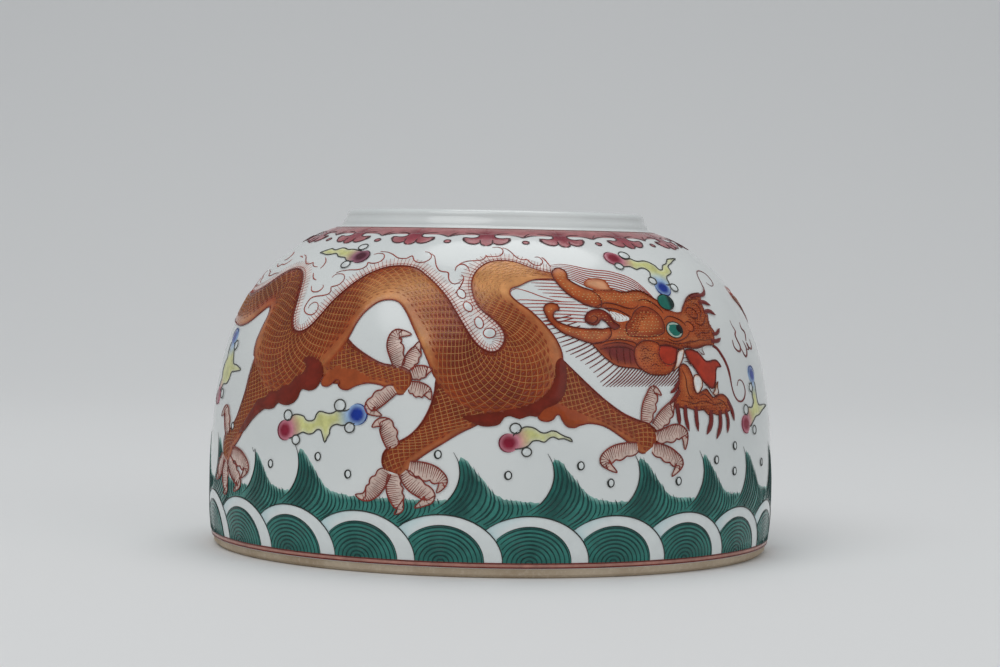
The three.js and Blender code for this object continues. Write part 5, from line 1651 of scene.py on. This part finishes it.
# Dark lines over the head, as (width, points)
headLines = [
    (0.26, [
        (45, 52.8), (46, 53.8), (47, 54.6), (48.5, 55.7), (50, 56.4), (51.5, 56.8), (53, 57), (55, 57.1),
    ]),
    (0.24, [
        (28, 57.7), (30, 57.2), (31.5, 57.3), (33, 57.6), (35, 57.5), (36.5, 56.8), (38, 55.8), (39, 55.2),
    ]),
    (0.3, [(24, 53.5), (27, 53.2), (29, 52.3), (30.3, 51.5)]),
    (0.26, [(22.4, 53.8), (24.6, 54.6), (27, 54.4), (29.6, 53.6), (31.4, 53.4), (33, 54.2)]),
    (0.26, [(33.4, 55.2), (35, 55.5), (36.8, 54.9), (38.4, 53.7), (39.2, 52.4)]),
    (0.34, [
        (36, 45.6), (38, 45.7), (40, 45.1), (41.5, 44.8), (43, 45.1), (45, 44.9), (46.5, 44.9), (48, 45.2),
        (50, 45.5), (52.2, 45.4),
    ]),
    (0.24, [
        (35, 46.6), (38, 46.4), (40, 45.9), (42, 45.9), (44, 46.2), (46, 46.3), (48, 46.6), (50, 46.5),
        (52, 46.8),
    ]),
    (0.26, [(38.5, 47), (40, 46.4), (42, 46.6), (44, 47.3), (45.4, 48.4)]),
    (0.26, [(38.8, 51), (40.2, 51.7), (42, 51.5), (43.8, 50.7), (44.8, 49.6)]),
    (0.26, [
        (46.4, 52.8), (47.2, 53.6), (48.6, 53.6), (49.8, 52.9), (50, 51.9), (49, 51.2), (47.6, 51.5),
        (47, 52.2),
    ]),
    (0.26, [(44.6, 50.2), (45.6, 50.6), (46.6, 50.2), (47.2, 49.3), (46.3, 48.4), (45.1, 48.6)]),
    (0.24, [(50.4, 54.8), (51.8, 53.8), (51.7, 52.4), (50.6, 51.5)]),
    (0.24, [(48.2, 50.3), (50, 49.7), (51.4, 50.3), (52.4, 51.4)]),
    (0.24, [(47.4, 47.5), (49.4, 48.2), (51.2, 48), (52.7, 48.7)]),
    (0.22, [(47.8, 55), (49.6, 55.5), (51.4, 55.7), (53.4, 55.6)]),
    (0.28, [(22.4, 45.6), (24, 46), (26, 46.2), (28, 45.9), (29.8, 45.1)]),
    (0.26, [(21.8, 44.8), (24, 45.2), (26, 45.3), (28, 45.1), (29.6, 44.3)]),
    (0.22, [(24, 45.1), (23.7, 43.8), (24.1, 42.6)]),
    (0.22, [(25.5, 45.2), (25.2, 43.6), (25.4, 42)]),
    (0.22, [(27, 45.2), (26.8, 43.6), (26.9, 41.8)]),
    (0.22, [(28.4, 44.9), (28.2, 43.4), (28.2, 41.8)]),
    (0.22, [(31, 44.4), (32, 45), (33.2, 44.3)]),
    (0.22, [(33.4, 43.3), (34.2, 44), (35, 43.6)]),
    (0.22, [(30.8, 42.6), (32, 43.2), (33.2, 42.6)]),
    (0.22, [(32.6, 41.2), (33.8, 41.8), (35.2, 41.2)]),
    (0.24, [(40.6, 40.6), (41.3, 39), (41.3, 37), (41.8, 35.4), (43, 34.6)]),
    (0.24, [(39.2, 34.6), (41, 34.2), (43, 33.8), (45, 34.2), (47, 34), (49, 33.4), (51, 33.6), (53, 33)]),
    (0.22, [(44.6, 35.2), (46, 35.6), (47.2, 35), (48.6, 33.9)]),
    (0.22, [(50.2, 34.4), (51.4, 34.2), (52.6, 33.4), (53.4, 32.4)]),
    (0.24, [(46.6, 37.4), (47.4, 37.3), (48.2, 36.2), (49, 35.5)]),
    (0.24, [(41.2, 42.8), (42.4, 43), (43.2, 42), (44.2, 41), (44.8, 39.8)]),
    (0.2, [(41.6, 42.2), (42.6, 42.2), (43.4, 41.2)]),
    (0.24, [(46.6, 44.6), (47.2, 43.8), (48.2, 43.6), (47.8, 44.6), (48.2, 45.2)]),
    (0.3, [(19.8, 50.5), (20.8, 50.2), (21.8, 50.6), (22.2, 51.3), (21.4, 51.8), (20.7, 51.3)]),
]
# Spikes of the snout and beard, each thinning to its tip, as (width, points)
headSpikes = [
    (1.0, [(50.4, 56.1), (53, 56.5), (56, 56.6), (58, 57.4), (59.4, 59)]),
    (1.1, [(52.6, 54.7), (55, 54.9), (57.4, 54.1)]),
    (1.1, [(53, 52.6), (55.6, 52.8), (57.7, 51.9)]),
    (0.9, [(53.2, 47.9), (55, 47.9), (57, 49)]),
    (1.0, [(51.8, 46.4), (54.2, 46.3), (56.1, 46.9)]),
    (1.15, [(38.3, 33.9), (38.5, 31.8), (38.7, 29.5)]),
    (1.1, [(40.4, 33.6), (40.4, 31), (41.1, 28.3)]),
    (1.15, [(43.3, 33.2), (43.3, 30.6), (43.6, 28.2)]),
    (1.4, [(47.7, 32.4), (47.5, 29.8), (46, 27.5)]),
    (1.3, [(50.6, 32.2), (50.5, 29.2), (49, 26.5)]),
    (1.15, [(52.6, 32.4), (53.3, 30), (52.8, 27.5)]),
    (1.2, [(53.6, 34), (55, 32.2), (55.7, 29.8)]),
    (1.0, [(39.3, 36.6), (38, 35.2), (36.4, 33.8)]),
    (0.9, [(39.3, 38.2), (38.2, 36.8), (36.8, 36)]),
]
# Whiskers, as (width, points)
whiskers = [
    (0.8, [(52.2, 45.4), (53.6, 44.7), (54.6, 43.5), (55.6, 41.9), (56.2, 40), (56.35, 37)]),
    (0.42, [
        (52.2, 45.4), (53.6, 44.7), (54.6, 43.5), (55.6, 41.9), (56.2, 40), (56.3, 38), (56.5, 36.2),
        (57.2, 34.7), (58.4, 33.8), (60, 33.7), (61.4, 34.4), (62.2, 35.7), (61.9, 37.2), (60.8, 38),
        (59.6, 37.9), (58.7, 36.9),
    ]),
    (0.26, [
        (59.2, 58.6), (59.9, 60), (61, 61.7), (63, 62.9), (65.3, 63), (67.2, 62.3), (67.8, 61), (67.2, 59.7),
        (65.8, 59), (64, 59), (62.8, 59.8),
    ]),
]
# Where rows of dark touches lie on the snout, jowl, brow and jaw
darkScales = [
    [
        (45.6, 52.4), (48, 55), (51, 56.2), (54, 56.4), (53.4, 53.6), (53.4, 50.8), (53.6, 48.2),
        (51.6, 46.8), (47, 47), (46.8, 49.6),
    ],
    [(31, 45.4), (34, 46), (34.8, 43.6), (36.6, 41.2), (34.6, 40.2), (31.6, 40.8), (30, 42.8)],
    [
        (29.4, 49.6), (31.8, 52.6), (34, 53.4), (36.8, 52.4), (34, 51.6), (31.2, 49.2), (31, 47.8),
        (29.2, 48.2),
    ],
    [(36.6, 46.4), (42, 46.2), (46, 46.6), (44, 45.2), (40, 45.5)],
    [(41, 35.4), (43.4, 35.2), (46, 35.2), (48.4, 34.2), (53, 34), (53.4, 32.4), (48, 32), (41, 33.6)],
]
# Where rows of gold touches lie on the skull, horns, curl, brow and cheek: outline and spacing
hornDots = [
    ([
        (20, 57.2), (26, 57.2), (33, 57), (36.4, 56), (37.6, 54.4), (35.4, 54.6), (32.6, 55), (30, 54.4),
        (26, 55), (22, 54.6), (19, 55.6),
    ], 1.1),
    ([
        (14.4, 61.6), (16.6, 61.4), (16, 59.6), (18.4, 58), (20, 56.8), (19, 55.4), (16.6, 57.2), (15, 59.4),
    ], 1.15),
    ([
        (11.4, 53.4), (13, 53.6), (12, 52), (12.8, 50.4), (15, 49.2), (19, 48.4), (24, 48.4), (22, 46.8),
        (19, 46.9), (15.4, 48.2), (12.8, 49.9),
    ], 1.05),
    ([
        (20.2, 51.6), (21.4, 52.6), (23.4, 52.6), (24.6, 51.6), (25.6, 49.8), (24.6, 50.2), (23.4, 51.4),
        (21.6, 51.6),
    ], 0.95),
    ([
        (29.6, 50.2), (31.4, 51.8), (33, 53), (35, 53.2), (37, 52), (37.6, 50.4), (37, 48.8), (34, 48.2),
        (30, 48.2),
    ], 1.15),
    ([(27, 49.4), (37, 47.4), (38, 46.8), (30, 46.6), (25, 47)], 1.15),
]


# Short touches scattered in rows inside an outline
def dotInside(brush, outline, spacing, width, length, lift, tint):
    rnd = random.Random(len(outline))
    per = degreesPer(outline[0][1])
    ys, xs = [p[1] for p in outline], [p[0] for p in outline]
    row, y = 0, min(ys) + spacing * 0.4
    while y < max(ys):
        x = min(xs) + (row % 2) * spacing * per / 2
        while x < max(xs):
            if inside((x, y), outline):
                a, b = x + rnd.uniform(-0.16, 0.16) * per, y + rnd.uniform(-0.12, 0.12)
                size = width * rnd.uniform(0.75, 1.15)
                touch = [(a - length / 2 * per, b), (a + length / 2 * per, b)]
                brush.draw(touch, size, 0.6, 0.6, lift, smooth=False, tint=tint)
            x += spacing * per
        y += spacing * 0.8
        row += 1


def makeDragonHead():
    parts = Enamel("headParts", fillMaterial, 0.1)
    lines = Brush("headLines", tintedLine, 0.35)
    spikes = Brush("headSpikes", tintedLine, 0.16)
    tones = headTones
    for name, (middle, edge, reach, lift, points) in headParts.items():
        core, rim = tones[middle], tones[edge]
        outline = smoothLine(points, 0.4, closed=True)

        def tint(x, y, away, core=core, rim=rim, reach=reach):
            inner = core
            if core in (tones["orange"], tones["deep"]):
                inner = blendColour(core, tones["glow"], sum(spotLight(x, y, spot) for spot in headGlow))
            return blendColour(rim, inner, away / reach)

        parts.addShape(outline, tint, 0.5, lift)
        if name not in ("skull", "lens"):
            lines.draw(outline, 0.24, 1, 1, lift + 0.08, smooth=False, closed=True,
                       tint=tones["orange" if name == "ear" else "dark"])
        elif name == "skull":
            lines.draw(outline, 0.16, 1, 1, 0.16, smooth=False, closed=True, tint=tones["deep"])
    for width, line in headLines:
        lines.draw(line, width, 0.4, 0.4, 0.29, 0.4, tint=tones["dark"])
    for width, line in headSpikes:
        spikes.draw(line, width, 0.9, 0.05, 0.2, 0.4, tint=tones["wine"])
    for width, line in whiskers:
        lines.draw(line, width, 0.9, 0.4, 0.06, 0.4, tint=tones["wine"])
    for k in range(5):
        x = 25.7 + k * 0.85
        lash = [(x, 52.5 - k * 0.12), (x + 0.9, 51.6 - k * 0.1), (x + 0.5, 50.8)]
        lines.draw(lash, 0.16, 0.6, 0.6, 0.25, tint=tones["deep"])
    for outline, spacing in hornDots:
        dotInside(lines, outline, spacing * 0.72, 0.26, 0.26, 0.27, tones["gold"])
    for name in ("skull", "jaw", "jowl"):
        *_, lift, outline = headParts[name]
        dotInside(lines, outline, 0.78, 0.22, 0.24, lift + 0.1, tones["amber"])
    for outline in darkScales:
        dotInside(lines, outline, 0.62, 0.34, 0.3, 0.31, tones["deep"])
    parts.lay("iron_red", **bothSides)
    lines.lay("iron_red", **bothSides)
    spikes.lay("iron_red", **bothSides)
    print("dragon heads laid")


# The green stone on the head and the eye
def makeHeadStones():
    look = {
        "green": (0.012, 0.16, 0.12), "greenDeep": (0.003, 0.02, 0.018),
        "pupilDark": (0.002, 0.006, 0.006), "ring": (0.42, 0.52, 0.44),
        "stone": ((41.2, 54.9), 4.2, 3.5), "eye": ((41.0, 48.8), 4.4, 3.4), "pupil": ((42.2, 48.9), 2.1, 1.9),
    }
    stones = Enamel("headStones", fillMaterial, 0.16)
    ring = Enamel("eyeRing", fillMaterial, 0.12, 0.22)
    ink = Brush("stoneOutlines", inkMaterial)
    centre, width, height = look["stone"]

    def stoneTint(x, y, away):
        return blendColour(look["green"], look["greenDeep"], (x - centre[0] - 0.1) / 0.9)

    stones.addShape(oval(centre, width, height, 0, 24), stoneTint, 0.5, 0.24)
    ink.draw(oval(centre, width, height, 0, 24), 0.2, 1, 1, 0.3, closed=True)
    eye, width, height = look["eye"]
    ring.addShape(oval(eye, width, height, 0, 24), look["ring"], 0.6)
    ink.draw(oval(eye, width, height, 0, 24), 0.2, 1, 1, 0.28, closed=True)
    stones.addShape(oval(eye, width - 0.9, height - 0.8, 0, 24), look["green"], 0.5, 0.28)
    pupil, width, height = look["pupil"]
    stones.addShape(oval(pupil, width, height, 0, 20), look["pupilDark"], 0.5, 0.36)
    stones.lay("sea_green", **bothSides)
    ring.lay("sea_green", **bothSides)
    ink.lay("black_line", **bothSides)
    print("head stones and eyes laid")


# The mane: fine parallel strokes behind the horns, cheek and jaw
maneTop = [
    (13.4, 63.9), (16, 64.4), (18, 64.3), (20, 63.9), (22, 63.4), (25, 62.9), (28, 62.7), (30, 62.3),
    (32, 61.7), (33.5, 61.1), (35, 60.1), (36.3, 58.8), (37.3, 57.4), (38.4, 55.8),
]
maneFoot = [
    (14, 61), (16.2, 60.6), (18.4, 60.2), (20.4, 59.2), (22.6, 58.2), (25, 57.8), (27.4, 57.7), (29, 57.4),
    (30.2, 57), (31.2, 56.8), (32.2, 56.4), (33.4, 56), (34.6, 55.8), (36, 55.4),
]
# The chest's edge under the mane, as (climb, angle)
chestEdge = [
    (57, 3.7), (56.2, 3.9), (55.2, 4.6), (54.2, 5.9), (52.8, 8), (51.2, 9.9), (49.3, 11.3), (47.3, 12.7),
    (45.5, 13.8), (44, 14.3), (42.9, 14.6),
]


def makeMane():
    look = {"strokes": 9, "width": 0.24, "lift": 0.04}
    brush = Brush("mane", tintedLine, 0.4)
    red, wine = headTones["red"], headTones["wine"]

    def stroke(points, width, start, end, tint=red, step=0.6):
        brush.draw(points, width, start, end, look["lift"], step, tint=tint)

    top, foot = smoothLine(maneTop, 2.0), smoothLine(maneFoot, 2.0)
    count = min(len(top), len(foot))
    for k in range(look["strokes"]):
        share = k / (look["strokes"] - 1)
        line = []
        for i in range(count):
            a = top[i * (len(top) - 1) // (count - 1)]
            b = foot[i * (len(foot) - 1) // (count - 1)]
            line.append(partWay(a, b, share))
        stroke(line, look["width"], 0.2, 0.8, step=0.8)
    # between the neck and the upper horn
    hornRoot = 18
    for climb, start in ((60.1, 6.8), (59.3, 8.6), (58.5, 9.2), (57.7, 9.8), (56.9, 10.8), (56.1, 12.2)):
        middle = (start + hornRoot) / 2
        stroke([(start, climb), (middle, climb - 0.1), (hornRoot, climb - 0.3)], 0.2, 0.3, 0.7)
    # round the white gap under the neck
    stroke([(3.8, 57), (5, 57.8), (8, 57), (10, 56.2), (13, 55.3), (16, 54.8)], 0.2, 0.5, 0.3)
    stroke([(4.6, 55), (6, 55.2), (10.1, 55.1), (14, 54.9), (18, 54.9)], 0.22, 0.7, 0.4)
    # from the chest's edge to the horns
    climb = 54.3
    while climb > 49:
        start = between(chestEdge, climb)
        end = 20.5 if climb > 50 else 14
        stroke([(start, climb), ((start + end) / 2, climb + 0.12), (end, climb - 0.1)], 0.22, 0.6, 0.7)
        climb -= 0.76
    # below the lower horn and cheek the strokes swing round to hang under the jowl
    starts = smoothLine([
        (10.3, 50.6), (11.6, 48.9), (12.9, 47.0), (13.9, 45.4), (14.6, 44.3), (16.5, 43.2), (18.4, 41.8),
        (20, 40.2), (21.7, 37.6),
    ], 0.95)
    for i, (x, y) in enumerate(starts):
        share = i / (len(starts) - 1)
        end = (x + 6.2 - 1.4 * share, y + 1.3 + 2.4 * share)
        stroke([(x, y), ((x + end[0]) / 2, (y + end[1]) / 2 - 0.1), end], 0.26, 0.5, 0.8, wine)
    x = 22.4
    while x < 38.6:
        stroke([(x, 37.4), (x + 2.4, 39.1), (x + 4.8, 41.2)], 0.26, 0.4, 0.8, wine)
        x += 0.78
    brush.lay("iron_red", **bothSides)
    print("manes laid")


tintedLine = tintedEnamel("tintedLine", 0.3, 0.15)
deepGreenLine = lineEnamel("deepGreenLine", (0.006, 0.05, 0.045), 0.22)
darkRedLine = lineEnamel("darkRedLine", (0.16, 0.02, 0.014), 0.35)
clawLine = lineEnamel("clawLine", (0.21, 0.026, 0.016), 0.35)
softInk = lineEnamel("softInk", (0.045, 0.042, 0.034), 0.35)
wineInk = lineEnamel("wineInk", (0.075, 0.016, 0.02), 0.35)

makeFootLines()
makeMounds()
makeSea()
makeFoam()
makeRuyiBorder()
makeClouds()
makeFlame()
makeMane()
makeDragonFin()
makeDragonBody()
makeDragonHead()
makeHeadStones()


# Floor, backdrop, light and camera
def makeStage():
    look = {
        "sweep": (0.80, 0.805, 0.80), "world": (0.90, 0.93, 0.97), "worldStrength": 0.42,
        "front": -3.0, "bendStart": 0.5, "bendRadius": 1.6, "top": 5.0, "half": 5.0,
    }
    bendSteps = 24
    profile = [(look["front"], 0.0)]
    for i in range(bendSteps + 1):
        angle = math.pi / 2 * i / bendSteps
        profile.append((look["bendStart"] + look["bendRadius"] * math.sin(angle),
                        look["bendRadius"] * (1 - math.cos(angle))))
    profile.append((profile[-1][0], look["top"]))
    corners = [(side * look["half"], y, z) for y, z in profile for side in (-1, 1)]
    faces = [(2 * i, 2 * i + 1, 2 * i + 3, 2 * i + 2) for i in range(len(profile) - 1)]
    sweep = newObject("studioSweep", corners, faces=faces)
    sweep.data.polygons.foreach_set("use_smooth", [True] * len(faces))
    sweep.data.materials.append(newMaterial("paleSweep", look["sweep"], 0.7)[0])
    world = bpy.data.worlds.new("studioWorld")
    bpy.context.scene.world = world
    world.use_nodes = True
    sky = world.node_tree.nodes["Background"].inputs
    sky["Color"].default_value = (*look["world"], 1)
    sky["Strength"].default_value = look["worldStrength"]
    for name, spot, power, width in (
        ("keyLamp", (-0.55, -0.75, 1.25), 6.6, 1.1),
        ("fillLamp", (1.0, -0.9, 0.6), 2.0, 1.2),
        ("topLamp", (0.1, 0.35, 1.4), 4.6, 1.0),
    ):
        lamp = bpy.data.lights.new(name, "AREA")
        lamp.shape = "DISK"
        lamp.energy = power
        lamp.size = width
        obj = bpy.data.objects.new(name, lamp)
        bpy.context.scene.collection.objects.link(obj)
        obj.location = spot
        aim = Vector((0, 0, 0.035)) - Vector(spot)
        obj.rotation_euler = aim.to_track_quat("-Z", "Y").to_euler()
    bpy.context.scene.view_settings.view_transform = "Standard"


def makeCamera():
    shot = {
        "place": (0.00144, -0.53793, 0.06259), "pitch": 0.0323, "roll": 0.0192,
        "focalPixels": 2502.8, "imageWidth": 1000, "sensor": 36.0,
    }
    data = bpy.data.cameras.new("photoCamera")
    data.sensor_fit = "HORIZONTAL"
    data.sensor_width = shot["sensor"]
    data.lens = shot["focalPixels"] / shot["imageWidth"] * shot["sensor"]
    camera = bpy.data.objects.new("photoCamera", data)
    bpy.context.scene.collection.objects.link(camera)
    forward = Vector((0, math.cos(shot["pitch"]), -math.sin(shot["pitch"])))
    up = Vector((0, math.sin(shot["pitch"]), math.cos(shot["pitch"])))
    side = Vector((1, 0, 0))
    right = side * math.cos(shot["roll"]) + up * math.sin(shot["roll"])
    top = up * math.cos(shot["roll"]) - side * math.sin(shot["roll"])
    turned = Matrix((right, top, -forward)).transposed().to_4x4()
    camera.matrix_world = Matrix.Translation(shot["place"]) @ turned
    bpy.context.scene.camera = camera


makeStage()
makeCamera()
print("stage and camera set")

bpy.data.objects.remove(wallGuide)
